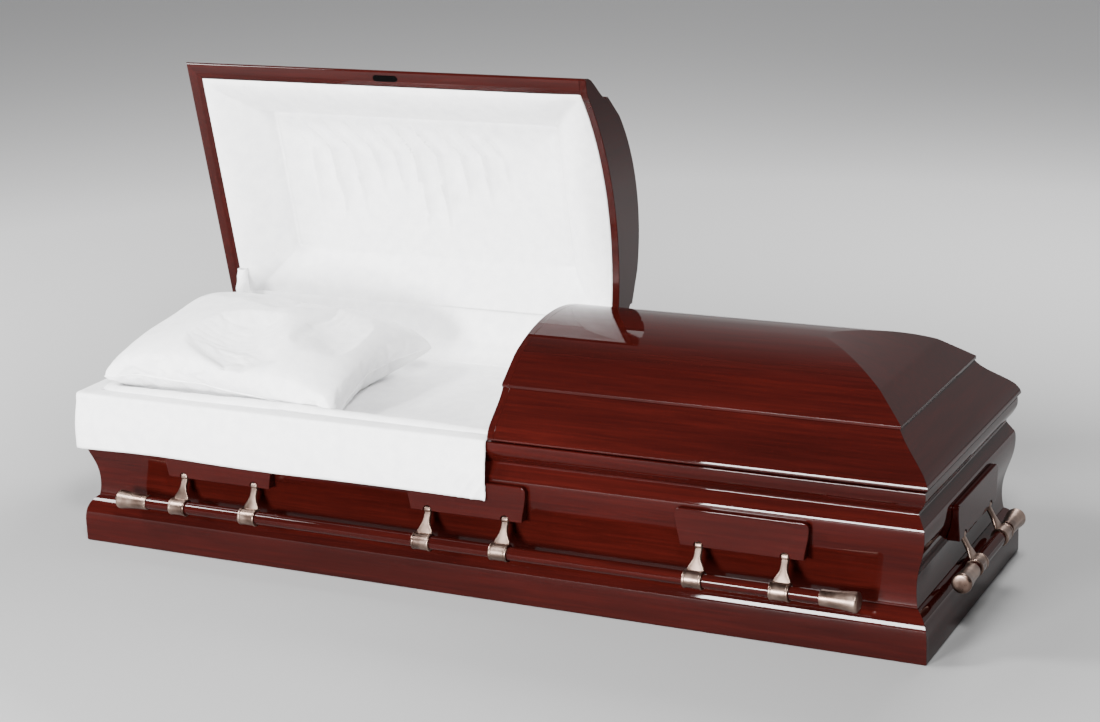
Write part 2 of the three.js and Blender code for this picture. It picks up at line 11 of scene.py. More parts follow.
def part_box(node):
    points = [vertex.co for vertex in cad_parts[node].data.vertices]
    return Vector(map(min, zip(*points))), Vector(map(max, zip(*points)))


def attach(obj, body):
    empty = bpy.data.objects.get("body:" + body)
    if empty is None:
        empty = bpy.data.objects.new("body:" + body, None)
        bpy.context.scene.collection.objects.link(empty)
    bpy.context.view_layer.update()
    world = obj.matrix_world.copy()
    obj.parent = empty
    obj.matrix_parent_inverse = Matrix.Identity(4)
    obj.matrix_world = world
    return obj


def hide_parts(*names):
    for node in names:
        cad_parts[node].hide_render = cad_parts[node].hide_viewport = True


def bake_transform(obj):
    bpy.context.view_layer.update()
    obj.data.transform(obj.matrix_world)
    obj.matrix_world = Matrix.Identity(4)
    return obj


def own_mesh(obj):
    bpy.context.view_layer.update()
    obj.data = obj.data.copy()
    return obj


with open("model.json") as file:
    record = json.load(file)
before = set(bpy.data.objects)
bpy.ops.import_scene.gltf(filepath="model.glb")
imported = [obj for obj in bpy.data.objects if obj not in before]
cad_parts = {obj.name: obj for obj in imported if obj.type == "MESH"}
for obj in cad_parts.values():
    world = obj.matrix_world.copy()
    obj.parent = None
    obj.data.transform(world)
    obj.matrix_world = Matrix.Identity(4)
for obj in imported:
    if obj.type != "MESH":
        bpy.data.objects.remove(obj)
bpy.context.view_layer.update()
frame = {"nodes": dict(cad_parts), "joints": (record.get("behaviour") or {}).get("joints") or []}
started = time.time()

# Every shape below is worked out in millimetres, in the row's own frame. Outlines of mouldings
# hold insets from the nose of the lid and heights, as seen on the front, and are turned about Z.


def span(node):
    # the two corners of a CAD node's box, in mm
    low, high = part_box(node)
    return np.array(low) * 1000, np.array(high) * 1000


casket = {
    "halfLength": span("foot_lid_rail_end")[1][0],
    "halfWidth": -span("foot_lid_rail_front")[0][1],
    "baseHeight": span("base_front")[1][2],
    "rimHeight": span("panel_front")[1][2],
    "lidBottom": span("foot_lid_rail_front")[0][2],
    "stepHeight": span("foot_lid_rail_front")[1][2],
    "crownHeight": span("foot_lid_crown")[1][2],
    "footCut": span("foot_lid_header")[0][0],
    "headCut": span("head_lid_header")[1][0],
    "headerThickness": span("foot_lid_header")[1][0] - span("foot_lid_header")[0][0],
    "wallInset": span("panel_foot")[1][1] - span("bottom_board")[1][1],
    "pieceGap": 0.2,
    "mattressTop": span("mattress")[1][2],
}
lidHinge = next(j for j in frame["joints"] if j["name"] == "head_lid_hinge")
hingePoint = np.array(lidHinge["pos_m"]) * 1000
openAngle = math.radians(lidHinge["range_deg"][1])

sides = {
    "front": {"turn": 0.0, "out": casket["halfWidth"], "run": casket["halfLength"]},
    "foot": {"turn": 0.5 * math.pi, "out": casket["halfLength"], "run": casket["halfWidth"]},
    "back": {"turn": math.pi, "out": casket["halfWidth"], "run": casket["halfLength"]},
    "head": {"turn": -0.5 * math.pi, "out": casket["halfLength"], "run": casket["halfWidth"]},
}


def turned(points, angle):
    # x' = x cos a - y sin a and y' = x sin a + y cos a
    c, s = math.cos(angle), math.sin(angle)
    x, y, z = np.asarray(points, float).T
    return np.column_stack([x * c - y * s, x * s + y * c, z])


def opened(points):
    # the head lid's closed place turned back about its hinge line by the open angle
    c, s = math.cos(openAngle), math.sin(openAngle)
    x, y, z = np.asarray(points, float).T
    dy, dz = y - hingePoint[1], z - hingePoint[2]
    return np.column_stack([x, hingePoint[1] + dy * c + dz * s, hingePoint[2] - dy * s + dz * c])


def bezier(*controls, steps=12):
    # neighbouring control points are mixed again and again until one point is left for each t
    t = np.linspace(0, 1, steps + 1)[:, None, None]
    level = np.repeat(np.array(controls, float)[None], steps + 1, axis=0)
    while level.shape[1] > 1:
        level = level[:, :-1] * (1 - t) + level[:, 1:] * t
    return level[:, 0]


def chain(*parts):
    # stretches of an outline laid end to end, with points that repeat left out
    path = np.vstack([np.atleast_2d(np.array(p, float)) for p in parts])
    apart = np.linalg.norm(np.diff(path, axis=0), axis=1) > 1e-3
    return path[np.concatenate([[True], apart])]


def eased(path, radius, steps=3, least=14):
    # each corner sharper than least degrees becomes a short curve that starts radius before it
    ahead = np.roll(path, -1, axis=0) - path
    behind = path - np.roll(path, 1, axis=0)
    longAhead, longBehind = np.linalg.norm(ahead, axis=1), np.linalg.norm(behind, axis=1)
    cosine = (ahead * behind).sum(1) / (longAhead * longBehind)
    parts = []
    for i, point in enumerate(path):
        if cosine[i] > math.cos(math.radians(least)):
            parts.append(point)
            continue
        before = point - behind[i] / longBehind[i] * min(radius, 0.45 * longBehind[i])
        after = point + ahead[i] / longAhead[i] * min(radius, 0.45 * longAhead[i])
        parts.append(bezier(before, point, after, steps=steps))
    return chain(*parts)


def smoothStep(x, low, high):
    # 0 below low, 1 above high and 3t^2 - 2t^3 between
    t = np.clip((x - low) / (high - low), 0, 1)
    return t * t * (3 - 2 * t)


def softNoise(x, y, cell, seed):
    # random heights from -1 to 1 on a square lattice, mixed smoothly between its corners
    table = np.random.RandomState(seed).uniform(-1, 1, (64, 64))
    u, v = np.asarray(x) / cell, np.asarray(y) / cell
    i, j = np.floor(u).astype(int), np.floor(v).astype(int)
    s, t = smoothStep(u - i, 0, 1), smoothStep(v - j, 0, 1)
    corner = lambda a, b: table[(i + a) % 64, (j + b) % 64]
    low = corner(0, 0) * (1 - s) + corner(1, 0) * s
    high = corner(0, 1) * (1 - s) + corner(1, 1) * s
    return low * (1 - t) + high * t


def gridFaces(rows, columns, start=0, closedRows=False, closedColumns=False):
    # quads between neighbours of a grid of points that is stored row by row
    i = np.arange(rows if closedRows else rows - 1)
    j = np.arange(columns if closedColumns else columns - 1)
    i, j = np.meshgrid(i, j, indexing="ij")
    i2, j2 = (i + 1) % rows, (j + 1) % columns
    quads = np.stack([i * columns + j, i * columns + j2, i2 * columns + j2, i2 * columns + j], -1)
    return (quads.reshape(-1, 4) + start).tolist()


def makePiece(name, points, faces, finish, body, replaced=(), sharp=35):
    # points in mm and faces become a mesh with its doubles merged and its normals outwards
    mesh = bpy.data.meshes.new(name)
    mesh.from_pydata((np.asarray(points) / 1000).tolist(), [], faces)
    form = bmesh.new()
    form.from_mesh(mesh)
    bmesh.ops.remove_doubles(form, verts=form.verts, dist=1e-5)
    bmesh.ops.dissolve_degenerate(form, edges=form.edges, dist=1e-6)
    bmesh.ops.recalc_face_normals(form, faces=form.faces)
    form.to_mesh(mesh)
    form.free()
    mesh.polygons.foreach_set("use_smooth", np.ones(len(mesh.polygons), bool))
    mesh.set_sharp_from_angle(angle=math.radians(sharp))
    piece = bpy.data.objects.new(name, mesh)
    bpy.context.scene.collection.objects.link(piece)
    mesh.materials.append(finish)
    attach(piece, body)
    if replaced:
        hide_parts(*replaced)
    return piece


def modifier(piece, kind, **settings):
    # one modifier with its settings
    made = piece.modifiers.new(kind.title(), kind)
    for key, value in settings.items():
        setattr(made, key, value)
    return made


# Finishes

def linear(hexText):
    # sRGB to linear: c / 12.92 up to 0.04045, and ((c + 0.055) / 1.055) ^ 2.4 above
    values = [int(hexText[i:i + 2], 16) / 255 for i in (1, 3, 5)]
    return [c / 12.92 if c <= 0.04045 else ((c + 0.055) / 1.055) ** 2.4 for c in values] + [1.0]


def addNode(tree, kind, settings=None, links=None, stops=()):
    # settings name a property or an input socket, links name input sockets, and stops fill a ramp
    node = tree.nodes.new("ShaderNode" + kind)
    for key, value in (settings or {}).items():
        if isinstance(key, str) and hasattr(node, key):
            setattr(node, key, value)
        else:
            node.inputs[key].default_value = value
    for key, source in (links or {}).items():
        tree.links.new(source, node.inputs[key])
    for index, (place, colour) in enumerate(stops):
        if index >= len(node.color_ramp.elements):
            node.color_ramp.elements.new(1.0)
        node.color_ramp.elements[index].position = place
        node.color_ramp.elements[index].color = linear(colour)
    return node


def newFinish(name):
    # an empty material, and its node tree
    finish = bpy.data.materials.new(name)
    finish.use_nodes = True
    finish.node_tree.nodes.clear()
    return finish, finish.node_tree


lacquer = {
    "dark": "#1b0504",
    "middle": "#270806",
    "light": "#340c09",
    "grainWidth": 9.0,      # mm across the grain, as coarse as it needs to be to show
    "grainStretch": 26.0,   # how much longer a streak is than it is wide
    "boardWidth": 240.0,    # mm, slow change of tone from board to board
    "wave": 111.1,          # mm between the ripples of the rubbed coat
    "coatRoughness": 0.03,
    "coatIor": 1.29,
    "coatWeight": 0.75,
}


def cherryLacquer(name, along):
    # cherry under many coats of rubbed lacquer: deep red with brown streaks along the board,
    # seen through a clear coat that mirrors the room with a faint waviness
    finish, tree = newFinish(name)
    place = addNode(tree, "TexCoord").outputs["Object"]
    across = 1000 / lacquer["grainWidth"]
    scale = [across, across, across]
    scale["xyz".index(along)] = across / lacquer["grainStretch"]
    grainPlace = addNode(tree, "Mapping", {"Scale": scale}, {"Vector": place})
    grain = addNode(
        tree, "TexNoise",
        {"Scale": 1.0, "Detail": 6.0, "Roughness": 0.62, "Distortion": 0.4},
        {"Vector": grainPlace.outputs["Vector"]},
    )
    boardScale = [1000 / lacquer["boardWidth"]] * 3
    boardScale["xyz".index(along)] /= 4
    boardPlace = addNode(tree, "Mapping", {"Scale": boardScale}, {"Vector": place})
    board = addNode(
        tree, "TexNoise", {"Scale": 1.0, "Detail": 2.0, "Roughness": 0.5},
        {"Vector": boardPlace.outputs["Vector"]},
    )
    tone = addNode(
        tree, "Mix", {"data_type": "FLOAT", 0: 0.45},
        {2: grain.outputs["Fac"], 3: board.outputs["Fac"]},
    )
    colour = addNode(
        tree, "ValToRGB", links={"Fac": tone.outputs[0]},
        stops=[(0.3, lacquer["dark"]), (0.5, lacquer["middle"]), (0.72, lacquer["light"])],
    )
    wave = addNode(
        tree, "TexNoise", {"Scale": 1000 / lacquer["wave"], "Detail": 1.0}, {"Vector": place},
    )
    bump = addNode(
        tree, "Bump", {"Strength": 0.12, "Distance": 0.0006},
        {"Height": wave.outputs["Fac"]},
    )
    shader = addNode(
        tree, "BsdfPrincipled",
        {
            "Roughness": 0.45, "IOR": 1.5, "Specular IOR Level": 0.0,
            "Coat Weight": lacquer["coatWeight"], "Coat IOR": lacquer["coatIor"],
            "Coat Roughness": lacquer["coatRoughness"],
        },
        {"Base Color": colour.outputs["Color"], "Coat Normal": bump.outputs["Normal"]},
    )
    addNode(tree, "OutputMaterial", links={"Surface": shader.outputs["BSDF"]})
    return finish


nickelPlate = {
    "bright": "#8b776c", "worn": "#5a4840",
    "stain": 45.0,             # mm between the darkened and the rubbed spots
    "grain": 1.4,              # mm, the cast skin, as coarse as it needs to be to show
    "roughness": (0.24, 0.46),
}


def antiqueNickel():
    # die-cast zinc, nickel plated, darkened and rubbed back: warm grey with brownish hollows
    finish, tree = newFinish("antiqueNickel")
    place = addNode(tree, "TexCoord").outputs["Object"]
    stain = addNode(
        tree, "TexNoise",
        {"Scale": 1000 / nickelPlate["stain"], "Detail": 4.0, "Roughness": 0.5}, {"Vector": place},
    )
    colour = addNode(
        tree, "ValToRGB", links={"Fac": stain.outputs["Fac"]},
        stops=[(0.35, nickelPlate["worn"]), (0.62, nickelPlate["bright"])],
    )
    brushed = addNode(
        tree, "TexNoise", {"Scale": 1000 / nickelPlate["grain"], "Detail": 3.0},
        {"Vector": place},
    )
    roughness = addNode(
        tree, "MapRange",
        {
            "From Min": 0.3, "From Max": 0.7,
            "To Min": nickelPlate["roughness"][0], "To Max": nickelPlate["roughness"][1],
        },
        {"Value": stain.outputs["Fac"]},
    )
    bump = addNode(
        tree, "Bump", {"Strength": 0.25, "Distance": 0.0002},
        {"Height": brushed.outputs["Fac"]},
    )
    shader = addNode(
        tree, "BsdfPrincipled", {"Metallic": 1.0},
        {
            "Base Color": colour.outputs["Color"], "Roughness": roughness.outputs["Result"],
            "Normal": bump.outputs["Normal"],
        },
    )
    addNode(tree, "OutputMaterial", links={"Surface": shader.outputs["BSDF"]})
    return finish


crepe = {
    # the hollow colour is painted shade: the crepe is painted darker where its crinkle and slub bumps
    # sink
    "thread": "#f4f4f4", "hollow": "#e4e4e6",
    "crinkle": 2.2,   # mm, as coarse as it needs to be to show
    "slub": 30.0,     # mm between thicker threads
}


def whiteCrepe():
    # polyester crepe: matt, finely crinkled, with a faint sheen at grazing angles
    finish, tree = newFinish("whiteCrepe")
    place = addNode(tree, "TexCoord").outputs["Object"]
    crinkle = addNode(
        tree, "TexNoise",
        {"Scale": 1000 / crepe["crinkle"], "Detail": 4.0, "Roughness": 0.7}, {"Vector": place},
    )
    slub = addNode(
        tree, "TexNoise", {"Scale": 1000 / crepe["slub"], "Detail": 3.0}, {"Vector": place},
    )
    tone = addNode(
        tree, "Mix", {"data_type": "FLOAT", 0: 0.5},
        {2: crinkle.outputs["Fac"], 3: slub.outputs["Fac"]},
    )
    # painted shade: the colour darkens with the same noise that lowers the bumps below, so their hollows
    # are painted darker
    colour = addNode(
        tree, "ValToRGB", links={"Fac": tone.outputs[0]},
        stops=[(0.3, crepe["hollow"]), (0.6, crepe["thread"])],
    )
    fine = addNode(
        tree, "Bump", {"Strength": 0.35, "Distance": 0.0004},
        {"Height": crinkle.outputs["Fac"]},
    )
    coarse = addNode(
        tree, "Bump", {"Strength": 0.3, "Distance": 0.002},
        {"Height": slub.outputs["Fac"], "Normal": fine.outputs["Normal"]},
    )
    shader = addNode(
        tree, "BsdfPrincipled",
        {"Roughness": 0.92, "Sheen Weight": 0.25, "Sheen Roughness": 0.5},
        {"Base Color": colour.outputs["Color"], "Normal": coarse.outputs["Normal"]},
    )
    addNode(tree, "OutputMaterial", links={"Surface": shader.outputs["BSDF"]})
    return finish


poplar = {"dark": "#5d4130", "middle": "#7b5a42", "light": "#94714f", "streak": (250.0, 8.33)}


def sawnBoard():
    # plain poplar board, sanded and left bare: pale brown with long streaks
    finish, tree = newFinish("sawnBoard")
    place = addNode(tree, "TexCoord").outputs["Object"]
    length, width = poplar["streak"]   # mm
    scale = [1000 / length, 1000 / width, 1000 / width]
    grainPlace = addNode(tree, "Mapping", {"Scale": scale}, {"Vector": place})
    grain = addNode(
        tree, "TexNoise", {"Scale": 1.0, "Detail": 5.0, "Roughness": 0.6},
        {"Vector": grainPlace.outputs["Vector"]},
    )
    colour = addNode(
        tree, "ValToRGB", links={"Fac": grain.outputs["Fac"]},
        stops=[(0.3, poplar["dark"]), (0.5, poplar["middle"]), (0.7, poplar["light"])],
    )
    bump = addNode(
        tree, "Bump", {"Strength": 0.3, "Distance": 0.0005},
        {"Height": grain.outputs["Fac"]},
    )
    shader = addNode(
        tree, "BsdfPrincipled", {"Roughness": 0.7},
        {"Base Color": colour.outputs["Color"], "Normal": bump.outputs["Normal"]},
    )
    addNode(tree, "OutputMaterial", links={"Surface": shader.outputs["BSDF"]})
    return finish


# near-black colours of the painted shade inside the lock's slot, with fine random specks
slotShadeColours = {"dark": "#040404", "light": "#0c0b0b", "speck": 1.43}


def paintedSlotShade():
    # painted shade: a matt near-black finish on a flat plate, standing for the shade inside the lock's
    # slot
    finish, tree = newFinish("paintedSlotShade")
    place = addNode(tree, "TexCoord").outputs["Object"]
    speck = addNode(
        tree, "TexNoise", {"Scale": 1000 / slotShadeColours["speck"], "Detail": 2.0}, {"Vector": place},
    )
    colour = addNode(
        tree, "ValToRGB", links={"Fac": speck.outputs["Fac"]},
        stops=[(0.4, slotShadeColours["dark"]), (0.7, slotShadeColours["light"])],
    )
    shader = addNode(
        tree, "BsdfPrincipled", {"Roughness": 0.9, "Specular IOR Level": 0.0},
        {"Base Color": colour.outputs["Color"]},
    )
    addNode(tree, "OutputMaterial", links={"Surface": shader.outputs["BSDF"]})
    return finish


cherryX = cherryLacquer("cherryAlongX", "x")
cherryY = cherryLacquer("cherryAlongY", "y")
nickel = antiqueNickel()
cloth = whiteCrepe()
board = sawnBoard()
slotShadeMaterial = paintedSlotShade()
print("finishes made")


# Wooden mouldings of the body

base = {"edge": 5, "shoulder": 45, "fullness": 33, "lean": 6, "fall": 14, "seat": 27}


def baseOutline():
    # upright face, then one cubic curve from the shoulder up to the flat that carries the panels
    top, wall = casket["baseHeight"], casket["wallInset"]
    return eased(chain(
        (wall, 0),
        bezier((base["edge"], 0), (0, 0), (0, base["edge"]), steps=6),
        bezier(
            (0, base["shoulder"]), (0, base["shoulder"] + base["fullness"]),
            (base["lean"], top - base["fall"]), (base["seat"], top), steps=20,
        ),
        (wall, top),
    ), 1.0)


panel = {
    "foot": 28, "waist": (32, 150), "waistLead": 22, "hollowLead": 58, "bulge": (8.5, 279),
    "bulgeLead": 12, "shoulder": (12, 297), "neck": (26, 320), "neckTop": 325,
    "cove": (8, 345), "band": (6, 360), "bandEdge": 4, "arris": 1.6,
}


def panelFace():
    # hollow, bulge, shoulder, neck, cove and upright band, each a quadratic or cubic curve
    waistIn, waistZ = panel["waist"]
    bulgeIn, bulgeZ = panel["bulge"]
    bandIn, bandZ = panel["band"]
    neckIn, neckZ = panel["neck"]
    rim, edge = casket["rimHeight"], panel["bandEdge"]
    foot = (panel["foot"], casket["baseHeight"] + casket["pieceGap"])
    return chain(
        bezier(foot, (waistIn, waistZ - panel["waistLead"]), (waistIn, waistZ), steps=8),
        bezier(
            (waistIn, waistZ), (waistIn, waistZ + panel["hollowLead"]),
            (bulgeIn, bulgeZ - panel["hollowLead"]), (bulgeIn, bulgeZ), steps=28,
        ),
        bezier((bulgeIn, bulgeZ), (bulgeIn, bulgeZ + panel["bulgeLead"]), panel["shoulder"], steps=8),
        (neckIn, neckZ),
        bezier((neckIn, panel["neckTop"]), panel["cove"], (bandIn, bandZ), steps=10),
        bezier((bandIn, rim - edge), (bandIn, rim), (bandIn + edge, rim), steps=6),
    )


def panelOutline():
    # the face, closed along the rim, the inside of the wall and the foot
    wall = casket["wallInset"]
    foot = casket["baseHeight"] + casket["pieceGap"]
    return eased(chain(panelFace(), (wall, casket["rimHeight"]), (wall, foot)), panel["arris"])


def mitreStart(run):
    # a 45 degree cut: each point starts as far along the side as it lies inwards
    return lambda inset: inset + casket["pieceGap"] - run


def mitreEnd(run):
    # the same cut at the other end
    return lambda inset: run - inset - casket["pieceGap"]


def squareAt(x):
    # an upright cut across the side at x
    return lambda inset: np.full(len(inset), float(x))


def moulding(outline, side, startAt, endAt):
    # the outline stands at each end, where the end's function of the inset puts it along the side
    inset, height = outline.T
    out = sides[side]["out"]
    ends = [np.column_stack([at(inset), inset - out, height]) for at in (startAt, endAt)]
    count = len(outline)
    faces = gridFaces(2, count, closedColumns=True)
    faces += [list(range(count))[::-1], list(range(count, 2 * count))]
    return turned(np.vstack(ends), sides[side]["turn"]), faces


def finishOf(side):
    # the grain runs along each side
    return cherryX if side in ("front", "back") else cherryY


def bodyMouldings():
    # a base and a panel on each side, mitred at both ends
    kinds = (("baseMoulding", "base", baseOutline()), ("sidePanel", "panel", panelOutline()))
    for name, side in sides.items():
        ends = mitreStart(side["run"]), mitreEnd(side["run"])
        for made, node, outline in kinds:
            points, faces = moulding(outline, name, *ends)
            makePiece(f"{made}_{name}", points, faces, finishOf(name), "body", [f"{node}_{name}"])


bodyMouldings()
print("body mouldings made")


# Ears

ear = {
    "width": 304, "bottom": 198, "top": 282, "proud": 5, "corner": 14, "round": 2.6,
    "pitch": 660, "armOffset": 98, "notch": 10.5, "hingeHeight": 200, "gap": 0.3, "taper": 12,
    "roundOver": 55,   # degrees, the corners that are rounded
}


def earOutline():
    # rounded top corners, sides that draw in downwards, and an arched notch for each knuckle
    half, low, top, corner = ear["width"] / 2, ear["bottom"], ear["top"], ear["corner"]
    arc = np.linspace(0, math.pi, 17)
    across, up = ear["notch"] * np.cos(arc), ear["notch"] * np.sin(arc)
    edges = []
    for x in (-ear["armOffset"], ear["armOffset"]):
        notch = np.column_stack([x - across, ear["hingeHeight"] + up])
        edges += [(x - ear["notch"], low), notch, (x + ear["notch"], low)]
    rise = np.linspace(low, top - corner, 20)
    edge = half - ear["taper"] * (1 - smoothStep(rise, low - 10, top - corner))
    right = np.column_stack([edge, rise])
    left = np.column_stack([-edge, rise])[::-1]
    return chain(
        left[-1], *edges, right,
        bezier((half, top - corner), (half, top), (half - corner, top), steps=10),
        bezier((corner - half, top), (-half, top), (-half, top - corner), steps=10),
        left[:-1],
    )


def earBlock(side, x):
    # the outline in front, and again behind where it meets the panel's face
    outline = earOutline()
    face = panelFace()
    out = sides[side]["out"]
    inset = np.interp(outline[:, 1], face[:, 1], face[:, 0]) - ear["gap"]
    count = len(outline)
    front = np.column_stack([outline[:, 0] + x, np.full(count, -out - ear["proud"]), outline[:, 1]])
    back = np.column_stack([outline[:, 0] + x, inset - out, outline[:, 1]])
    faces = gridFaces(2, count, closedColumns=True)
    faces += [list(range(count))[::-1], list(range(count, 2 * count))]
    return turned(np.vstack([front, back]), sides[side]["turn"]), faces


def placesAlong(side):
    # three ears along a long side, and one at the middle of an end
    return (-ear["pitch"], 0, ear["pitch"]) if sides[side]["run"] > casket["halfWidth"] else (0,)


for side in sides:
    for number, x in enumerate(placesAlong(side), 1):
        name, node = f"handleEar_{side}_{number}", f"ear_{side}_{number}"
        block = makePiece(name, *earBlock(side, x), finishOf(side), "body", [node])
        modifier(
            block, "BEVEL", width=ear["round"] / 1000, segments=4, limit_method="ANGLE",
            angle_limit=math.radians(ear["roundOver"]),
        )
print("ears made")


# Handles, drawn about their hinge line with the bar out at -Y and down

handle = {
    "hingeInset": 4, "barProud": 31, "barHeight": 134, "barRadius": 15.5, "knuckle": 9.2,
    "knuckleWidth": 18, "band": 44, "bandWall": 3.4, "bandBead": 1.3, "tipLength": 85,
    "tipNeck": 17.8, "tipEnd": 22.6, "tipRound": 9, "around": 48, "bladeThin": 7, "bladeThick": 10,
    "gap": 0.3,
}
sideBarHalf = (span("bar_front")[1][0] - span("bar_front")[0][0]) / 2
endBarHalf = (span("bar_foot")[1][1] - span("bar_foot")[0][1]) / 2
barOut = handle["barProud"] + handle["hingeInset"]
barDown = ear["hingeHeight"] - handle["barHeight"]
armLength = math.hypot(barOut, barDown)
armLean = math.atan2(barOut, barDown)


def lathe(profile, around=None):
    # the profile (place along X, radius) turned about X
    around = around or handle["around"]
    angle = np.linspace(0, 2 * math.pi, around, endpoint=False)
    along, radius = np.array(profile, float).T
    across, up = radius[:, None] * np.cos(angle), radius[:, None] * np.sin(angle)
    rings = np.stack([np.repeat(along[:, None], around, 1), across, up], -1)
    return rings.reshape(-1, 3), gridFaces(len(along), around, closedColumns=True)


def swung(points, side, x):
    # from the arm's own place, hanging straight down from the hinge, to its place on a side
    c, s = math.cos(armLean), math.sin(armLean)
    px, py, pz = np.asarray(points, float).T
    out = sides[side]["out"]
    place = np.column_stack([
        px + x, py * c + pz * s + handle["hingeInset"] - out, pz * c - py * s + ear["hingeHeight"],
    ])
    return turned(place, sides[side]["turn"])


def barParts(half):
    # a plain round bar
    radius = handle["barRadius"]
    return lathe([(-half, 0), (-half, radius), (half, radius), (half, 0)])


def sleeveParts():
    # a closed ring round the bar with a bead at each edge
    inner = handle["barRadius"] + handle["gap"]
    outer, bead, half = inner + handle["bandWall"], handle["bandBead"], handle["band"] / 2
    profile = chain(
        (-half, inner), (-half, outer),
        bezier((-half, outer), (-half, outer + bead), (-half + 3, outer + bead), steps=4),
        bezier((-half + 4, outer + bead), (-half + 6, outer + bead), (-half + 6.5, outer), steps=4),
        bezier((half - 6.5, outer), (half - 6, outer + bead), (half - 4, outer + bead), steps=4),
        bezier((half - 3, outer + bead), (half, outer + bead), (half, outer), steps=4),
        (half, inner), (-half, inner),
    )
    points, faces = lathe(profile)
    return points - np.array([0, 0, armLength]), faces


def bladeParts():
    # an oval bar that widens downwards: half width and half depth are functions of the way down
    steps, around = 30, 32
    t = np.linspace(0, 1, steps)
    top, flare = handle["knuckleWidth"] / 2 - 0.5, handle["band"] / 2 - 1.5
    widening = smoothStep(t, 0.3, 0.92)
    halfWide = top + (flare - top) * widening ** 1.25
    halfDeep = (handle["bladeThick"] * (1 - t) + handle["bladeThin"] * t) / 2 + 1.0 * np.sin(math.pi * t)
    angle = np.linspace(0, 2 * math.pi, around, endpoint=False)
    squarish = lambda v: np.sign(v) * np.abs(v) ** 0.75
    down = -armLength * (0.04 + 0.8 * t)
    points = np.stack([
        halfWide[:, None] * squarish(np.cos(angle)), halfDeep[:, None] * squarish(np.sin(angle)),
        np.repeat(down[:, None], around, 1),
    ], -1).reshape(-1, 3)
    faces = gridFaces(steps, around, closedColumns=True)
    faces += [list(range(around)), list(range((steps - 1) * around, steps * around))[::-1]]
    return points, faces


def knuckleParts():
    # a short barrel with rounded ends, lying along the hinge line
    half, radius = handle["knuckleWidth"] / 2, handle["knuckle"]
    arc = np.linspace(0, math.pi / 2, 8)
    cap = np.column_stack([half - 4 + 4 * np.sin(arc), radius - 4 + 4 * np.cos(arc)])
    profile = chain((-half, 0), (cap * [-1, 1])[::-1], cap, (half, 0))
    return lathe(profile, 32)


def tipParts():
    # a plain sleeve that flares to a rounded end
    length, end, edge = handle["tipLength"], handle["tipEnd"], handle["tipRound"]
    neck = handle["tipNeck"]
    profile = chain(
        (0, 0), (0, neck - 0.8),
        bezier((0, neck - 0.8), (0, neck), (0.8, neck), steps=3),
        bezier((8, neck), (length * 0.5, neck + 0.8), (length - edge, end), steps=16),
        bezier((length - edge, end), (length - 1, end + 1), (length - 0.5, end - edge), steps=10),
        bezier((length - 0.5, end - edge), (length, end - edge - 4), (length, 0), steps=8),
    )
    return lathe(profile)


def joinParts(parts):
    # several parts as one list of points, with each part's faces counted on
    points, faces, start = [], [], 0
    for partPoints, partFaces in parts:
        points.append(partPoints)
        faces += [[i + start for i in face] for face in partFaces]
        start += len(partPoints)
    return np.vstack(points), faces


for side in sides:
    body = f"{side}_handle"
    half = sideBarHalf if len(placesAlong(side)) > 1 else endBarHalf
    points, faces = barParts(half)
    place = swung(points - [0, 0, armLength], side, 0)
    makePiece(f"gripBar_{side}", place, faces, finishOf(side), body, [f"bar_{side}"])
    arms = [x + way * ear["armOffset"] for x in placesAlong(side) for way in (-1, 1)]
    for number, x in enumerate(arms, 1):
        points, faces = joinParts([knuckleParts(), bladeParts(), sleeveParts()])
        name, node = f"handleArm_{side}_{number}", f"arm_{side}_{number}"
        makePiece(name, swung(points, side, x), faces, nickel, body, [node])
    for number, way in ((1, -1), (2, 1)):
        points, faces = tipParts()
        place = swung((points + [half + handle["gap"], 0, 0]) * [way, 1, 1] - [0, 0, armLength], side, 0)
        name, node = f"barTip_{side}_{number}", f"tip_{side}_{number}"
        makePiece(name, place, faces, nickel, body, [node])
print("handles made")


# Lid

rail = {
    "face": 40, "faceHeight": 24, "splay": 5, "splayRise": 14, "heel": 3, "heelDrop": 12,
    "edge": 3, "lead": 14, "nose": (14, 31), "slopeOut": (31, 29), "slopeIn": (17, 28),
    "notch": 87, "topWidth": 19, "bevel": (26, 3.5), "arris": 1.2,
}
crown = {"lip": 82.5, "lipHeight": 7, "crease": (150, 538), "thickness": 14, "steps": 40, "soft": 2.0}


def railFace():
    # a quadratic curve round the nose, and a cubic one up the slope to the step
    low, step = casket["lidBottom"], casket["stepHeight"]
    depth, rise = rail["nose"]
    return chain(
        (rail["edge"], low),
        bezier((0, low + rail["edge"]), (0, low + rail["lead"]), (depth, low + rise), steps=16),
        bezier(
            (depth, low + rise),
            (depth + rail["slopeOut"][0], low + rise + rail["slopeOut"][1]),
            (rail["notch"] - rail["slopeIn"][0], step - rail["slopeIn"][1]),
            (rail["notch"], step), steps=28,
        ),
    )


def railOutline():
    # underside with a shallow bevel inwards, the nose and slope outside, and the inner face
    low, step = casket["lidBottom"], casket["stepHeight"]
    top = rail["notch"] + rail["topWidth"]
    flat, lift = rail["bevel"]
    path = chain(
        railFace(), (top, step), (top - rail["heel"], step - rail["heelDrop"]),
        (rail["face"] + rail["splay"], low + rail["faceHeight"] + rail["splayRise"]),
        (rail["face"], low + rail["faceHeight"]), (rail["face"], low + lift), (flat, low),
    )
    return eased(path, rail["arris"])


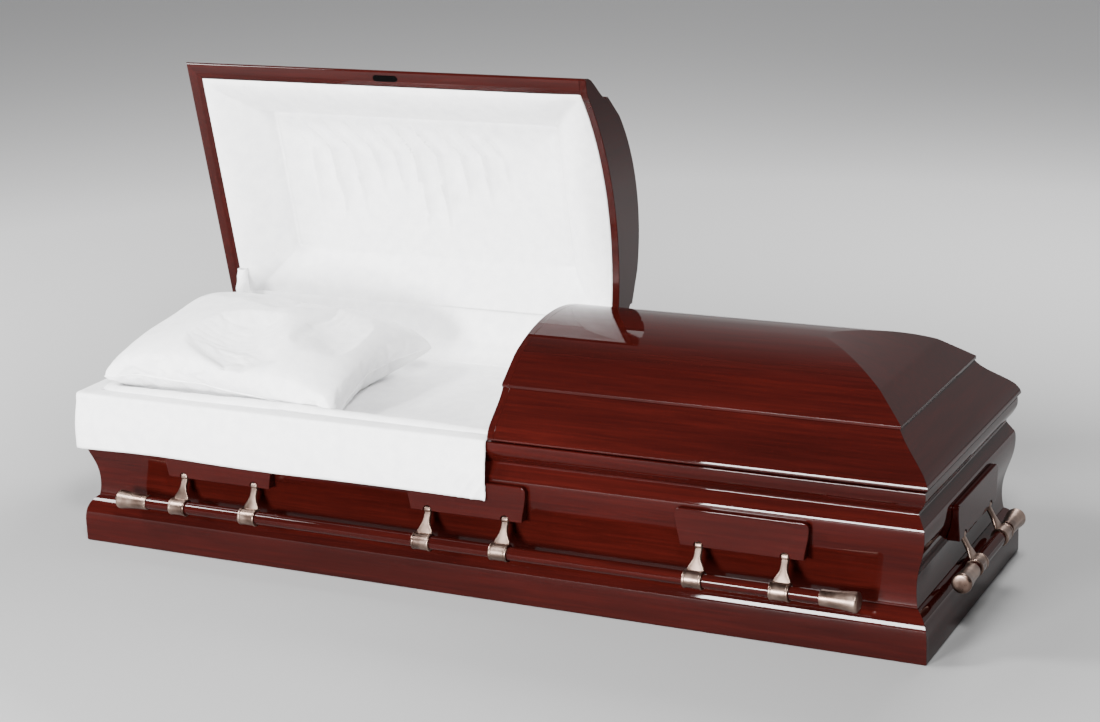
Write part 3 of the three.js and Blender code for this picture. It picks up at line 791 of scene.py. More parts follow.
def crownCurve(lip, foot, lipTop, crease, creaseTop, ridge):
    # upright lip, flat flank, then a circle's arc through the crease that lies level at the ridge
    span, rise = casket["halfWidth"] - crease, ridge - creaseTop
    radius = (span * span + rise * rise) / (2 * rise)
    angle = math.asin(span / radius) * np.linspace(1, 0, crown["steps"] + 1)
    arch = np.column_stack([
        casket["halfWidth"] - radius * np.sin(angle), ridge - radius * (1 - np.cos(angle)),
    ])
    soft = crown["soft"]
    flank = np.array([crease - lip, creaseTop - lipTop])
    flank = flank / np.linalg.norm(flank)
    return chain(
        (lip, foot),
        bezier((lip, lipTop - soft), (lip, lipTop), (lip, lipTop) + flank * soft, steps=4),
        bezier((crease, creaseTop) - flank * soft * 2, (crease, creaseTop), arch[1], steps=5),
        arch[2:],
    )


def crownOutside():
    # the curve that shows, from the step to the ridge
    foot = casket["stepHeight"] + casket["pieceGap"]
    lipTop = casket["stepHeight"] + crown["lipHeight"]
    return crownCurve(crown["lip"], foot, lipTop, *crown["crease"], casket["crownHeight"])


def crownInside():
    # the same curve set in by the wall, square to the flank and to the arch at the crease
    wall = crown["thickness"]
    lip = rail["notch"] + rail["topWidth"]
    lipTop = casket["stepHeight"] + crown["lipHeight"]
    creaseIn, creaseTop = crown["crease"]
    flankTilt = math.atan2(creaseTop - lipTop, creaseIn - crown["lip"])
    archTilt = 2 * math.atan2(casket["crownHeight"] - creaseTop, casket["halfWidth"] - creaseIn)
    middle = (flankTilt + archTilt) / 2
    innerLip = lipTop + (lip - crown["lip"]) * math.tan(flankTilt) - wall / math.cos(flankTilt)
    return crownCurve(
        lip, casket["stepHeight"] + casket["pieceGap"], innerLip,
        creaseIn + wall * math.sin(middle), creaseTop - wall * math.cos(middle),
        casket["crownHeight"] - wall,
    )


def crownShell(cut):
    # each level of the outline runs round three sides of the plan: front, end and back
    levels = []
    for half in (crownOutside(), crownInside()):
        y, end, z = casket["halfWidth"] - half[:, 0], casket["halfLength"] - half[:, 0], half[:, 1]
        at = np.full(len(half), float(cut))
        corners = [(at, -y, z), (end, -y, z), (end, y, z), (at, y, z)]
        levels.append(np.stack([np.column_stack(c) for c in corners], 1))
    count = len(levels[0])
    points = np.concatenate([levels[0], levels[1]]).reshape(-1, 3)
    faces = gridFaces(count, 4) + gridFaces(count, 4, start=4 * count)
    foot = [[i, i + 1, 4 * count + i + 1, 4 * count + i] for i in range(3)]
    cutEdge = [
        [4 * i + c, 4 * (i + 1) + c, 4 * (count + i + 1) + c, 4 * (count + i) + c]
        for c in (0, 3) for i in range(count - 1)
    ]
    return points, faces + foot + cutEdge


opening = {"rise": 74, "steps": 48, "round": 1.2, "roundOver": 60}


def archHeight(y):
    # a circle's arc from one long rail to the other, as high as the rise at its middle
    half, rise = casket["halfWidth"] - rail["face"], opening["rise"]
    radius = (half * half + rise * rise) / (2 * rise)
    return casket["lidBottom"] + rise - radius + np.sqrt(radius * radius - y * y)


def headerBoard(x0, x1):
    # the lid's full outline above a flat arch, as thick as the board
    halfOutline = chain(railFace(), crownOutside())
    half = np.column_stack([halfOutline[:, 0] - casket["halfWidth"], halfOutline[:, 1]])
    y = np.linspace(1, -1, opening["steps"] + 1) * (casket["halfWidth"] - rail["face"])
    outline = chain(half, (half * [-1, 1])[::-1], np.column_stack([y, archHeight(y)]))
    count = len(outline)
    points = np.vstack([
        np.column_stack([np.full(count, x), outline]) for x in (x0, x1)
    ])
    faces = gridFaces(2, count, closedColumns=True)
    return points, faces + [list(range(count))[::-1], list(range(count, 2 * count))]


def lidHalf(end):
    # three rails, the crown and the header, made closed and then turned open at the head end
    place = opened if end == "head" else np.asarray
    outward = 1 if end == "foot" else -1
    cut = casket["footCut"] if end == "foot" else casket["headCut"]
    shellCut = cut + outward * (casket["headerThickness"] + casket["pieceGap"])
    run, body = casket["halfLength"], f"{end}_lid"
    corner = mitreStart(run), mitreEnd(run)
    atEnds = {
        "front": (squareAt(shellCut), corner[1]) if outward > 0 else (corner[0], squareAt(shellCut)),
        "back": (corner[0], squareAt(-shellCut)) if outward > 0 else (squareAt(-shellCut), corner[1]),
        end: (mitreStart(casket["halfWidth"]), mitreEnd(casket["halfWidth"])),
    }
    for name, ends in atEnds.items():
        label = "end" if name == end else name
        points, faces = moulding(railOutline(), name, *ends)
        made, node = f"{end}LidRail_{label}", f"{end}_lid_rail_{label}"
        makePiece(made, place(points), faces, finishOf(name), body, [node], sharp=30)
    points, faces = crownShell(outward * shellCut)
    points = points if outward > 0 else turned(points, math.pi)
    node = f"{end}_lid_crown"
    makePiece(f"{end}LidCrown", place(points), faces, cherryX, body, [node], sharp=4)
    points, faces = headerBoard(cut, cut + outward * casket["headerThickness"])
    node = f"{end}_lid_header"
    header = makePiece(f"{end}LidHeader", place(points), faces, cherryY, body, [node])
    modifier(
        header, "BEVEL", width=opening["round"] / 1000, segments=3, limit_method="ANGLE",
        angle_limit=math.radians(opening["roundOver"]),
    )


lidHalf("head")
lidHalf("foot")
print("lid made")


# Cloth helpers

def evaluatedMesh(piece):
    # a new mesh with the piece's modifiers applied
    graph = bpy.context.evaluated_depsgraph_get()
    return bpy.data.meshes.new_from_object(piece.evaluated_get(graph))


def pointsOf(mesh):
    # the mesh's points in metres, as rows
    values = np.empty(len(mesh.vertices) * 3)
    mesh.vertices.foreach_get("co", values)
    return values.reshape(-1, 3)


def setPoints(mesh, values):
    # the same rows put back into the mesh
    mesh.vertices.foreach_set("co", np.ascontiguousarray(values, float).ravel())
    mesh.update()


def bakeModifiers(piece):
    # the piece's mesh is replaced by the one that its modifiers make
    mesh = evaluatedMesh(piece)
    piece.modifiers.clear()
    piece.data = mesh
    mesh.polygons.foreach_set("use_smooth", np.ones(len(mesh.polygons), bool))


def relax(piece, recipe, pinned=None):
    # cloth under pressure for twenty frames: each point keeps at most recipe["cap"] of its move.
    # Slack makes the cloth larger than the form that it starts from, so that it wrinkles.
    # Returns the points before and after.
    scene = bpy.context.scene
    before = pointsOf(piece.data)
    made = piece.modifiers.new("Cloth", "CLOTH")
    settings = made.settings
    settings.quality = 5
    settings.mass = 0.2
    settings.tension_stiffness = settings.compression_stiffness = recipe["stiff"]
    settings.shear_stiffness = recipe["stiff"] / 2
    settings.bending_stiffness = recipe["bend"]
    settings.use_pressure = True
    settings.uniform_pressure_force = recipe["pressure"]
    settings.shrink_min = -recipe["slack"]
    settings.effector_weights.gravity = 0
    if pinned is not None:
        group = piece.vertex_groups.new(name="pinned")
        for strength in np.unique(pinned[pinned > 0]):
            group.add(np.flatnonzero(pinned == strength).tolist(), float(strength), "REPLACE")
        settings.vertex_group_mass = "pinned"
    made.collision_settings.use_collision = False
    made.collision_settings.use_self_collision = False
    made.point_cache.frame_start, made.point_cache.frame_end = 1, 20
    for number in range(1, 21):
        scene.frame_set(number)
    after = pointsOf(evaluatedMesh(piece))
    scene.frame_set(1)
    piece.modifiers.clear()
    piece.vertex_groups.clear()
    move = after - before
    reach = np.linalg.norm(move, axis=1)[:, None]
    after = before + move * np.minimum(1, recipe["cap"] / 1000 / np.maximum(reach, 1e-9))
    setPoints(piece.data, after)
    return before, after


def makeSheet(name, surface, body, replaced, thickness, offset, closed=False):
    # a grid of points as one layer of cloth, thickened to one side or to both
    rows, columns = surface.shape[:2]
    faces = gridFaces(rows, columns, closedColumns=closed)
    piece = makePiece(name, surface.reshape(-1, 3), faces, cloth, body, replaced, sharp=180)
    modifier(piece, "SOLIDIFY", thickness=thickness / 1000, offset=offset)
    return piece


def tube(path, radius, around=10):
    # rings of a circle along the points of a closed path
    along = np.roll(path, -1, axis=0) - np.roll(path, 1, axis=0)
    along = along / np.linalg.norm(along, axis=1)[:, None]
    side = np.cross(along, [0, 0, 1.0])
    side = side / np.maximum(np.linalg.norm(side, axis=1), 1e-9)[:, None]
    up = np.cross(side, along)
    angle = np.linspace(0, 2 * math.pi, around, endpoint=False)
    rings = path[:, None] + radius * (
        side[:, None] * np.cos(angle)[None, :, None] + up[:, None] * np.sin(angle)[None, :, None]
    )
    return rings.reshape(-1, 3), gridFaces(len(path), around, closedRows=True, closedColumns=True)


# Padded lining of the open half

lining = {
    "gap": 1.5, "rollWidth": 124, "rollDepth": 100, "panelDepth": 122, "panelReach": 190,
    "puff": 20, "seamDeep": 13.0, "seamWide": 6.5, "thickness": 2.0, "step": 4.5, "pleatPitch": 62,
    "pleatDeep": 27.0, "pleatSlant": 0.8, "slantOver": 95,
    "pleatShort": 230, "pleatLong": 380, "hingeSoft": 70, "pleatsFrom": -860, "pleatsTo": -215,
}


def pleats(x, v):
    # ridges that leave the top seam on the slant, turn upright and fade at lengths of their own
    over = lining["slantOver"]
    lean = lining["pleatSlant"] * np.clip(over - v, 0, None) ** 1.2 / over ** 0.2
    wander = 9 * softNoise(x, v, 120, 3) + 2 * softNoise(x, v, 45, 4)
    place = (x + lean + wander) / lining["pleatPitch"]
    index = np.floor(place)
    along = place - index
    chance = np.random.RandomState(9).uniform(0, 1, 64)[index.astype(int) % 64]
    short, long = lining["pleatShort"], lining["pleatLong"]
    length = short + (long - short) * chance
    ridge = np.sin(math.pi * along) ** 0.6 - 0.64
    crease = -0.5 * np.exp(-(np.minimum(along, 1 - along) / 0.07) ** 2)
    strength = smoothStep(v, 0, 40) * (1 - smoothStep(v, 0.35 * length, length)) * (0.6 + 0.5 * chance)
    first, last = lining["pleatsFrom"], lining["pleatsTo"]
    edge = smoothStep(x, first, first + 130) * (1 - smoothStep(x, last - 110, last))
    return (ridge + crease) * strength * edge * lining["pleatDeep"]


def liningSurface():
    # height over the rim: a plump roll along each side, then a shallow dished panel with pleats
    edge = rail["face"] + lining["gap"]
    x0, x1 = edge - casket["halfLength"], casket["headCut"] - casket["headerThickness"] - lining["gap"]
    half = casket["halfWidth"] - edge
    columns, rows = int((x1 - x0) / lining["step"]), int(2 * half / lining["step"])
    x, y = np.meshgrid(np.linspace(x0, x1, columns), np.linspace(-half, half, rows), indexing="xy")
    fromSide = half - np.abs(y)
    fromHead, fromHeader = x - x0, x1 - x
    width = lining["rollWidth"]
    fromFront = np.minimum(np.minimum(y + half, fromHead), fromHeader)
    inward = np.minimum(fromFront, half - y)
    sharpness = 1 - smoothStep(fromFront - (half - y), -20, lining["hingeSoft"])
    t = np.clip(inward / width, 0, 1)
    puff = lining["puff"] * np.sin(math.pi * t) ** 0.75 * (0.25 + 0.75 * sharpness)
    roll = lining["rollDepth"] * t ** 1.1 - puff
    beyond = np.clip((inward - width) / lining["panelReach"], 0, 1)
    panelRise = (lining["panelDepth"] - lining["rollDepth"]) * np.sin(0.5 * math.pi * beyond)
    fromSeam = (inward - width - 3) / lining["seamWide"]
    seam = lining["seamDeep"] * np.exp(-fromSeam ** 2) * sharpness
    onPanel = smoothStep(inward, width + 1, width + 30)
    v = y + half - width
    folds = pleats(x, np.maximum(v, 0)) * smoothStep(v, 0, 12)
    puffs = 2.2 * softNoise(x, y, 75, 5) + 1.0 * softNoise(x, y, 28, 6)
    alongRoll = np.where(fromSide < np.minimum(fromHead, fromHeader), x, y)
    nearSeam = np.exp(-((width - inward) / 26) ** 2) * (t < 1)
    pucker = 1.6 * softNoise(alongRoll, inward * 0.25, 17, 7) * nearSeam
    waves = 2.0 * softNoise(alongRoll, inward * 0.4, 70, 8) * np.sin(math.pi * t)
    height = roll + panelRise + seam + onPanel * (folds + 0.6 * puffs) + pucker + waves
    arch = (archHeight(y) - casket["lidBottom"]) * (1 - smoothStep(fromHeader, 0, width))
    height = np.maximum(height, 0) + arch * (1 - 0.5 * t)
    z = casket["lidBottom"] + lining["gap"] + height
    return np.stack([x, y, z], -1)


surface = liningSurface()
surface = opened(surface.reshape(-1, 3)).reshape(surface.shape)
padding = makeSheet("liningOfLid", surface, "head_lid", ["head_lid_lining"], lining["thickness"], 1.0)
print("lining made")


# Lock slot in the open rail, and the hinge strips along the back

lock = {"from": -519, "to": -450, "inset": 19, "width": 16, "proud": 0.5, "around": 8}


def lockPlate():
    # a flat slot with round ends, a little proud of the rail's underside
    r, z = lock["width"] / 2, casket["lidBottom"]
    y = lock["inset"] - casket["halfWidth"]
    arc = np.linspace(-math.pi / 2, math.pi / 2, lock["around"] + 1)
    outline = np.vstack([
        np.column_stack([lock["to"] - r + r * np.cos(arc), y + r * np.sin(arc)]),
        np.column_stack([lock["from"] + r - r * np.cos(arc), y - r * np.sin(arc)]),
    ])
    count = len(outline)
    levels = [np.column_stack([outline, np.full(count, h)]) for h in (z - lock["proud"], z + 0.3)]
    faces = gridFaces(2, count, closedColumns=True)
    faces += [list(range(count))[::-1], list(range(count, 2 * count))]
    return opened(np.vstack(levels)), faces


# the plate carries the painted shade of the slot's opening
makePiece("lockSlot", *lockPlate(), slotShadeMaterial, "head_lid")

hingeStrip = {"barrel": 3.0, "knuckle": 60, "groove": 0.7, "leaf": 9, "endGap": 70}


def hingeBarrel(x0, x1):
    # a long barrel with a narrow groove between its knuckles
    r, groove = hingeStrip["barrel"], hingeStrip["groove"]
    profile = [(x0, 0), (x0, r)]
    for x in np.arange(x0 + hingeStrip["knuckle"], x1 - groove, hingeStrip["knuckle"]):
        profile += [(x - groove, r), (x - groove, r - groove), (x + groove, r - groove), (x + groove, r)]
    profile += [(x1, r), (x1, 0)]
    points, faces = lathe(profile, 16)
    return points + np.array([0, hingePoint[1], hingePoint[2]]), faces


def boxParts(low, high):
    # a plain box between two corners
    x, y, z = zip(low, high)
    points = np.array([(a, b, c) for c in z for b in y for a in x])
    return points, [[0, 2, 3, 1], [4, 5, 7, 6], [0, 1, 5, 4], [2, 6, 7, 3], [0, 4, 6, 2], [1, 3, 7, 5]]


for name, x0, x1 in (
    ("head", hingeStrip["endGap"] - casket["halfLength"], casket["headCut"] - 12),
    ("foot", casket["footCut"] + 12, casket["halfLength"] - hingeStrip["endGap"]),
):
    bandOut = casket["halfWidth"] - panel["band"][0]
    reach = hingePoint[1] - hingeStrip["barrel"] + 0.6
    top = casket["rimHeight"] - panel["bandEdge"]
    leaf = boxParts((x0, bandOut + 0.1, top - hingeStrip["leaf"]), (x1, reach + 0.4, top + 1.5))
    points, faces = joinParts([hingeBarrel(x0, x1), leaf])
    makePiece(f"hingeStrip_{name}", points, faces, nickel, "body")
print("lock and hinge strips made")


# Bed cover, apron and the soft roll along the rim

bed = {"step": 6.0, "slope": 60, "clear": 2.5, "thickness": 1.5}


def bedSurface():
    # flat over the mattress, and swept up to the rim along the front, the back and the head end
    inner = casket["halfWidth"] - casket["wallInset"] - 1.5
    x0 = casket["wallInset"] + 1.5 - casket["halfLength"]
    x1 = casket["halfLength"] - casket["wallInset"] - 4
    columns, rows = int((x1 - x0) / bed["step"]), int(2 * inner / bed["step"])
    x, y = np.meshgrid(np.linspace(x0, x1, columns), np.linspace(-inner, inner, rows), indexing="xy")
    fromWall = np.minimum(inner - np.abs(y), x - x0)
    t = np.clip(fromWall / bed["slope"], 0, 1)
    top = casket["rimHeight"] - 2.0
    low = casket["mattressTop"] + bed["clear"]
    z = low + (top - low) * (1 - t) ** 2.0
    folds = 2.4 * softNoise(x + 0.5 * y, y, 150, 11) + 1.0 * softNoise(x, y, 55, 12)
    ridges = 2.6 * np.exp(-((softNoise(x, y * 0.6, 170, 13)) / 0.09) ** 2)
    z += t * (2.8 + folds + ridges)
    return np.stack([x, y, z], -1)


cover = makeSheet("bedCover", bedSurface(), "body", ["mattress"], bed["thickness"], -1.0)

apron = {
    "hem": 243, "corner": 14, "step": 5.0, "thickness": 1.8, "cutBefore": 2,
    "creaseDeep": 4.0, "creasePitch": 34, "creaseReach": 90,
}


def aroundCorner(offset, spacing, radius):
    # plan path: along the front from the cut to the head corner, round it, then along the head end
    front = -(casket["halfWidth"] + offset)
    head = -(casket["halfLength"] + offset)
    xs = np.linspace(casket["headCut"] - apron["cutBefore"], head + radius, int(1110 / spacing))
    arc = np.linspace(0, math.pi / 2, 9)[1:-1]
    back = casket["halfWidth"] - casket["wallInset"]
    ys = np.linspace(front + radius, back, int(650 / spacing))
    return np.vstack([
        np.column_stack([xs, np.full(len(xs), front)]),
        np.column_stack([head + radius - radius * np.sin(arc), front + radius - radius * np.cos(arc)]),
        np.column_stack([np.full(len(ys), head), ys]),
    ])


def inwardOf(path):
    # the level direction square to the path that points into the casket
    step = np.gradient(path, axis=0)
    normal = np.column_stack([step[:, 1], -step[:, 0]])
    return normal / np.linalg.norm(normal, axis=1)[:, None]


def apronSurface():
    # a section over the rim and down outside, carried round the corner with slow waves in its hang
    rim, wall = casket["rimHeight"], casket["wallInset"]
    section = chain(
        (wall + 1.5, rim - 24), (wall + 1.5, rim - 4),
        bezier((wall + 1.5, rim), (wall - 2, rim + 2.2), (40, rim + 2.2), steps=4),
        (25, rim + 2.2),
        bezier((9, rim + 2.2), (1.5, rim + 2.2), (1, rim - 8), steps=6),
        bezier((0.5, rim - 20), (-7, rim - 60), (-8, 292), steps=8),
        np.column_stack([np.full(8, -8.2), np.linspace(284, apron["hem"], 8)]),
    )
    path = aroundCorner(0, apron["step"], apron["corner"])
    inward = inwardOf(path)
    inset, height = section.T
    run = np.concatenate([[0], np.cumsum(np.linalg.norm(np.diff(path, axis=0), axis=1))])
    hanging = smoothStep(rim - height, 0, rim - apron["hem"])
    wave = 2.0 * softNoise(run[:, None], height[None] * 0.3, 130, 21) * hanging
    wave += 0.7 * softNoise(run[:, None], height[None], 42, 22) * hanging
    slant = (run[:, None] + 0.8 * height[None]) / apron["creasePitch"]
    nearCut = np.exp(-(run[:, None] / apron["creaseReach"]) ** 2) * hanging
    wave += apron["creaseDeep"] * np.sin(2 * math.pi * slant) ** 3 * nearCut
    plan = path[:, None] + inward[:, None] * (inset[None, :, None] - np.abs(wave[..., None]))
    drop = 3.5 * softNoise(run, run * 0, 300, 23)[:, None] * hanging
    return np.concatenate([plan, (height[None] + drop)[..., None]], -1)


hangs = makeSheet("rimApron", apronSurface(), "body", ["apron"], apron["thickness"], 0.0)

rimRoll = {
    "inset": 62, "wide": 21, "tall": 13, "height": 373, "voxel": 5.0,
    "pressure": 4.0, "cap": 7.0, "slack": 0.06, "stiff": 12.0, "bend": 0.3,
}


def rollParts():
    # an oval roll under the cloth, just inside the rim, with lumps of its own
    path = aroundCorner(-rimRoll["inset"], 10, 30)
    path = path[path[:, 1] < casket["halfWidth"] - 78]
    inward = inwardOf(path)
    run = np.concatenate([[0], np.cumsum(np.linalg.norm(np.diff(path, axis=0), axis=1))])
    angle = np.linspace(0, 2 * math.pi, 20, endpoint=False)
    ends = np.clip(np.minimum(run, run[-1] - run) / 12, 0.25, 1) ** 0.5
    lump = (1 + 0.12 * softNoise(run, run * 0, 90, 41) + 0.05 * softNoise(run, run * 0, 30, 42)) * ends
    across = rimRoll["wide"] * lump[:, None] * np.cos(angle)
    level = rimRoll["height"] + rimRoll["tall"] * lump[:, None] * np.sin(angle)
    plan = path[:, None] + inward[:, None] * across[..., None]
    points = np.concatenate([plan, level[..., None]], -1)
    rows, columns = points.shape[:2]
    faces = gridFaces(rows, columns, closedColumns=True)
    faces += [list(range(columns))[::-1], list(range((rows - 1) * columns, rows * columns))]
    return points.reshape(-1, 3), faces


def makeRoll():
    # the roll swells a little under its cloth
    roll = makePiece("rimRoll", *rollParts(), cloth, "body", sharp=180)
    modifier(roll, "REMESH", mode="VOXEL", voxel_size=rimRoll["voxel"] / 1000)
    bakeModifiers(roll)
    relax(roll, rimRoll)
    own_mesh(roll)


makeRoll()
print("bed cover, apron and rim roll made")


# Cloth between the lid's lining and the bed, and the stay's sleeve

skirt = {"from": -1008, "to": 55, "step": 6.0, "thickness": 1.6, "fold": 3.0, "crinkle": 1.0}


def skirtSurface():
    # from the foot of the open lining, past the hinge, over the back rim and down to the bed
    section = chain(
        bezier((347, 466), (341, 440), (336, 410), (330, 396), steps=8),
        bezier((326, 388), (318, 381), (306, 379), (298, 370), steps=6),
        bezier((290, 362), (276, 353), (262, 350), steps=6),
    )
    x = np.linspace(skirt["from"], skirt["to"], int((skirt["to"] - skirt["from"]) / skirt["step"]))
    y, z = section.T
    fold = skirt["fold"] * softNoise(x[:, None], z[None] * 0.5, 120, 51)
    fold += skirt["crinkle"] * softNoise(x[:, None], z[None], 34, 52)
    fold *= np.sin(math.pi * np.linspace(0, 1, len(y)))[None]
    along = np.repeat(x[:, None], len(y), 1)
    return np.stack([along, y[None] - np.abs(fold), z[None] + 0.4 * fold], -1)


hingeCloth = makeSheet("hingeCloth", skirtSurface(), "body", (), skirt["thickness"], 0.0)
hingeCloth.parent = None
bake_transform(hingeCloth)

sleeve = {
    "from": (-1002, 292, 366), "bend": (-1004, 306, 440), "to": (-1012, 322, 528),
    "radius": 17, "around": 28, "crumple": 0.13, "thickness": 1.2,
}


def sleeveSurface():
    # a crumpled tube of cloth round the lid's stay
    path = bezier(sleeve["from"], sleeve["bend"], sleeve["to"], steps=44)
    angle = np.linspace(0, 2 * math.pi, sleeve["around"], endpoint=False)
    along = np.linspace(0, 1, len(path))
    u, v = angle[None] * 9, along[:, None] * 160
    rough = softNoise(u, v, 14, 61) + 0.6 * softNoise(u, v, 6, 62)
    belly = 0.75 + 0.3 * np.sin(math.pi * along[:, None])
    radius = sleeve["radius"] * (belly + sleeve["crumple"] * rough)
    ring = np.stack([np.cos(angle), np.sin(angle), 0 * angle], -1)
    return path[:, None] + radius[..., None] * ring[None]


staySleeve = makeSheet("staySleeve", sleeveSurface(), "body", (), sleeve["thickness"], -1.0, closed=True)
staySleeve.parent = None
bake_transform(staySleeve)
print("hinge cloth and sleeve made")


# Pillow

pillow = {
    "length": 628, "depth": 452, "crown": 112, "under": 30, "seam": 36, "centre": (-692, -62),
    "lean": 0.075, "tilt": 0.11, "dome": 0.36, "pullIn": (0.055, 0.075), "piping": 1.9, "keep": 0.18,
    "steps": (96, 72), "voxel": 5.0, "pressure": 4.0, "cap": 26.0, "slack": 0.07, "stiff": 14.0,
    "bend": 0.25,
}


def seamHeight(x, y):
    # a plane that rises to the head and to the back, with a slow wave of 6 mm
    level = casket["mattressTop"] + pillow["seam"]
    rise = level - pillow["lean"] * x + pillow["tilt"] * (y + pillow["depth"] / 2)
    return rise + 6 * np.sin(x / 150 + 0.4) * np.cos(y / 130)


def pillowPlace(u, v):
    # a square drawn to a rectangle whose sides pull in between the corners
    pullX, pullY = pillow["pullIn"]
    x = u * (1 - pullX * (1 - v ** 2)) * pillow["length"] / 2
    y = v * (1 - pullY * (1 - u ** 2)) * pillow["depth"] / 2
    return x, y


def pillowCase():
    # two layers that meet in a seam: each is a flattened dome
    nx, ny = pillow["steps"]
    u, v = np.meshgrid(np.linspace(-1, 1, nx), np.linspace(-1, 1, ny), indexing="xy")
    dome = ((1 - u ** 2) * (1 - v ** 2)) ** pillow["dome"]
    x, y = pillowPlace(u, v)
    level = seamHeight(x, y)
    centre = pillow["centre"]
    uneven = 1 + 0.08 * softNoise(x, y, 150, 31)
    upper = np.stack([x + centre[0], y + centre[1], level + pillow["crown"] * dome * uneven + 1.5], -1)
    lower = np.stack([x + centre[0], y + centre[1], level - pillow["under"] * dome ** 0.7 - 1.5], -1)
    count = nx * ny
    rim = np.concatenate([
        np.arange(nx), nx * np.arange(1, ny) + nx - 1,
        (nx * ny - 2) - np.arange(nx - 1), nx * np.arange(ny - 2, 0, -1),
    ])
    wall = [[int(a), int(b), int(b) + count, int(a) + count] for a, b in zip(rim, np.roll(rim, -1))]
    faces = gridFaces(ny, nx) + gridFaces(ny, nx, start=count) + wall
    return np.vstack([upper.reshape(-1, 3), lower.reshape(-1, 3)]), faces


def pipingPath():
    # once round the seam: u runs along the front, then v along the foot side, and back again
    t = np.linspace(-1, 1, 60, endpoint=False)
    one = np.ones(60)
    u = np.concatenate([t, one, -t, -one])
    v = np.concatenate([-one, t, one, -t])
    x, y = pillowPlace(u, v)
    return np.column_stack([x + pillow["centre"][0], y + pillow["centre"][1], seamHeight(x, y)]) / 1000


def makePillow():
    # the case is remeshed and swollen, its piping follows the seam, and its underside lies on the bed
    cushion = makePiece("softPillow", *pillowCase(), cloth, "body", ["pillow"], sharp=180)
    path = pipingPath()
    modifier(cushion, "REMESH", mode="VOXEL", voxel_size=pillow["voxel"] / 1000)
    bakeModifiers(cushion)
    before, after = relax(cushion, pillow)
    for i, point in enumerate(path):
        gap = np.linalg.norm(before - point, axis=1)
        near = np.argsort(gap)[:8]
        path[i] = point + (after[near] - before[near]).mean(0)
    around = np.vstack([path[-2:], path, path[:2]])
    path = sum(around[i:i + len(path)] for i in range(5)) / 5
    floor = (casket["mattressTop"] + bed["clear"] + 3) / 1000
    points = pointsOf(cushion.data)
    low = points[:, 2] < floor
    points[low, 2] = floor + 0.1 * (points[low, 2] - floor)
    setPoints(cushion.data, points)
    modifier(cushion, "SUBSURF", levels=1, render_levels=1)
    bakeModifiers(cushion)
    points, faces = tube(path * 1000, pillow["piping"])
    piping = makePiece("pillowPiping", points, faces, cloth, "body", sharp=180)
    for piece in (cushion, piping):
        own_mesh(piece)


makePillow()
print("pillow made", round(time.time() - started, 1))


# Plain boards that the frame already holds
for node in ("bottom_board", "bed_platform"):
    holder = frame["nodes"][node]
    holder.data.materials.clear()
    holder.data.materials.append(board)


# Studio and camera

studio = {
    "camera": (2.3861, -4.6570, 1.9789), "yaw": 0.4657, "pitch": 0.2831, "roll": -0.0398, "lens": 76.32,
    "front": "#6a6a6c", "behind": "#ffffff", "behindStrength": 0.7, "floor": "#949494",
    "backdrop": "#fbfbfb", "nearFloor": 1.3, "farFloor": 4.2, "reach": 14.0,
}


def makeFloor():
    # a paper sweep with painted light: its colour runs paler with its distance from the casket, as the
    # light on a lit backdrop does
    finish = bpy.data.materials.new("paperSweep")
    finish.use_nodes = True
    tree = finish.node_tree
    shader = tree.nodes["Principled BSDF"]
    shader.inputs["Roughness"].default_value = 0.8
    shader.inputs["Specular IOR Level"].default_value = 0.2
    place = addNode(tree, "TexCoord").outputs["Object"]
    distance = addNode(tree, "VectorMath", {"operation": "LENGTH"}, {0: place})
    share = addNode(
        tree, "MapRange", {"From Min": studio["nearFloor"], "From Max": studio["farFloor"]},
        {"Value": distance.outputs["Value"]},
    )
    # painted light: grey near the casket, turning near white with distance, as the falloff of a lit
    # backdrop
    colour = addNode(
        tree, "ValToRGB", links={"Fac": share.outputs["Result"]},
        stops=[(0.0, studio["floor"]), (1.0, studio["backdrop"])],
    )
    tree.links.new(colour.outputs["Color"], shader.inputs["Base Color"])
    mesh = bpy.data.meshes.new("floor")
    reach = studio["reach"]
    corners = [(-reach, -reach, 0), (reach, -reach, 0), (reach, reach, 0), (-reach, reach, 0)]
    mesh.from_pydata(corners, [], [(0, 1, 2, 3)])
    floor = bpy.data.objects.new("floor", mesh)
    bpy.context.scene.collection.objects.link(floor)
    mesh.materials.append(finish)


def makeLight(name, place, target, size, power):
    # a softbox that faces its target
    data = bpy.data.lights.new(name, "AREA")
    data.shape = "RECTANGLE"
    data.size, data.size_y = size
    data.energy = power
    light = bpy.data.objects.new(name, data)
    light.location = place
    light.rotation_euler = (Vector(target) - Vector(place)).to_track_quat("-Z", "Y").to_euler()
    bpy.context.scene.collection.objects.link(light)


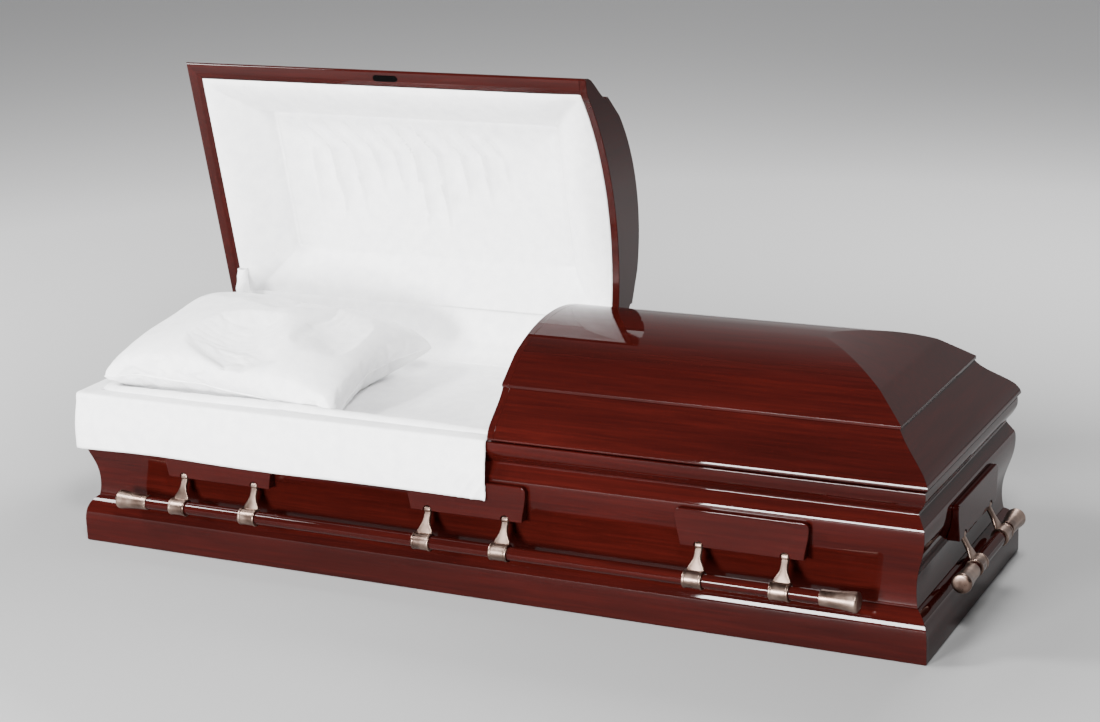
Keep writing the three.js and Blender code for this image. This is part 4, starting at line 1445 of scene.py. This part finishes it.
def makeWorld():
    # a bright sheet behind the casket that fades towards the zenith, and dimmer light in front
    world = bpy.data.worlds.new("studio")
    bpy.context.scene.world = world
    world.use_nodes = True
    tree = world.node_tree
    tree.nodes.clear()
    way = addNode(tree, "TexCoord").outputs["Generated"]
    parts = addNode(tree, "SeparateXYZ", links={"Vector": way})
    back = addNode(
        tree, "MapRange",
        {"interpolation_type": "SMOOTHSTEP", "From Min": 0.0, "From Max": 0.75},
        {"Value": parts.outputs["Y"]},
    )
    low = addNode(
        tree, "MapRange",
        {"interpolation_type": "SMOOTHSTEP", "From Min": 0.95, "From Max": 0.55},
        {"Value": parts.outputs["Z"]},
    )
    share = addNode(
        tree, "Math", {"operation": "MULTIPLY"},
        {0: back.outputs["Result"], 1: low.outputs["Result"]},
    )
    colour = addNode(
        tree, "Mix",
        {"data_type": "RGBA", 6: linear(studio["front"]), 7: linear(studio["behind"])},
        {0: share.outputs["Value"]},
    )
    strength = addNode(
        tree, "MapRange", {"To Min": 1.0, "To Max": studio["behindStrength"]},
        {"Value": share.outputs["Value"]},
    )
    background = addNode(
        tree, "Background",
        links={"Color": colour.outputs[2], "Strength": strength.outputs["Result"]},
    )
    addNode(tree, "OutputWorld", links={"Surface": background.outputs["Background"]})


def makeCamera():
    # a pinhole: forward from yaw and pitch, and then both other axes turned by roll
    data = bpy.data.cameras.new("camera")
    data.lens = studio["lens"]
    data.sensor_width = 36
    yaw, pitch, roll = studio["yaw"], studio["pitch"], studio["roll"]
    level = math.cos(pitch)
    forward = Vector((-math.sin(yaw) * level, math.cos(yaw) * level, -math.sin(pitch)))
    right = forward.cross(Vector((0, 0, 1))).normalized()
    up = right.cross(forward)
    c, s = math.cos(roll), math.sin(roll)
    rightRolled, upRolled = right * c + up * s, up * c - right * s
    camera = bpy.data.objects.new("camera", data)
    axes = Matrix((rightRolled, upRolled, -forward)).transposed()
    camera.matrix_world = Matrix.Translation(Vector(studio["camera"])) @ axes.to_4x4()
    bpy.context.scene.collection.objects.link(camera)
    bpy.context.scene.camera = camera


makeFloor()
makeWorld()
makeLight("keySoftbox", (-0.5, -4.6, 0.9), (0, 0, 0.3), (1.2, 0.9), 620)
makeLight("fillSoftbox", (2.2, -3.6, 4.2), (-0.4, 0, 0.4), (0.8, 1.1), 330)
makeLight("headSoftbox", (-3.2, -1.9, 3.2), (-0.5, 0.2, 0.6), (1.0, 1.0), 330)
makeLight("backSoftbox", (0.8, 2.6, 3.2), (0.2, 0.4, 0.3), (1.2, 1.0), 150)
makeCamera()
print("studio made")

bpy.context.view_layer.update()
print("seconds", round(time.time() - started, 1))
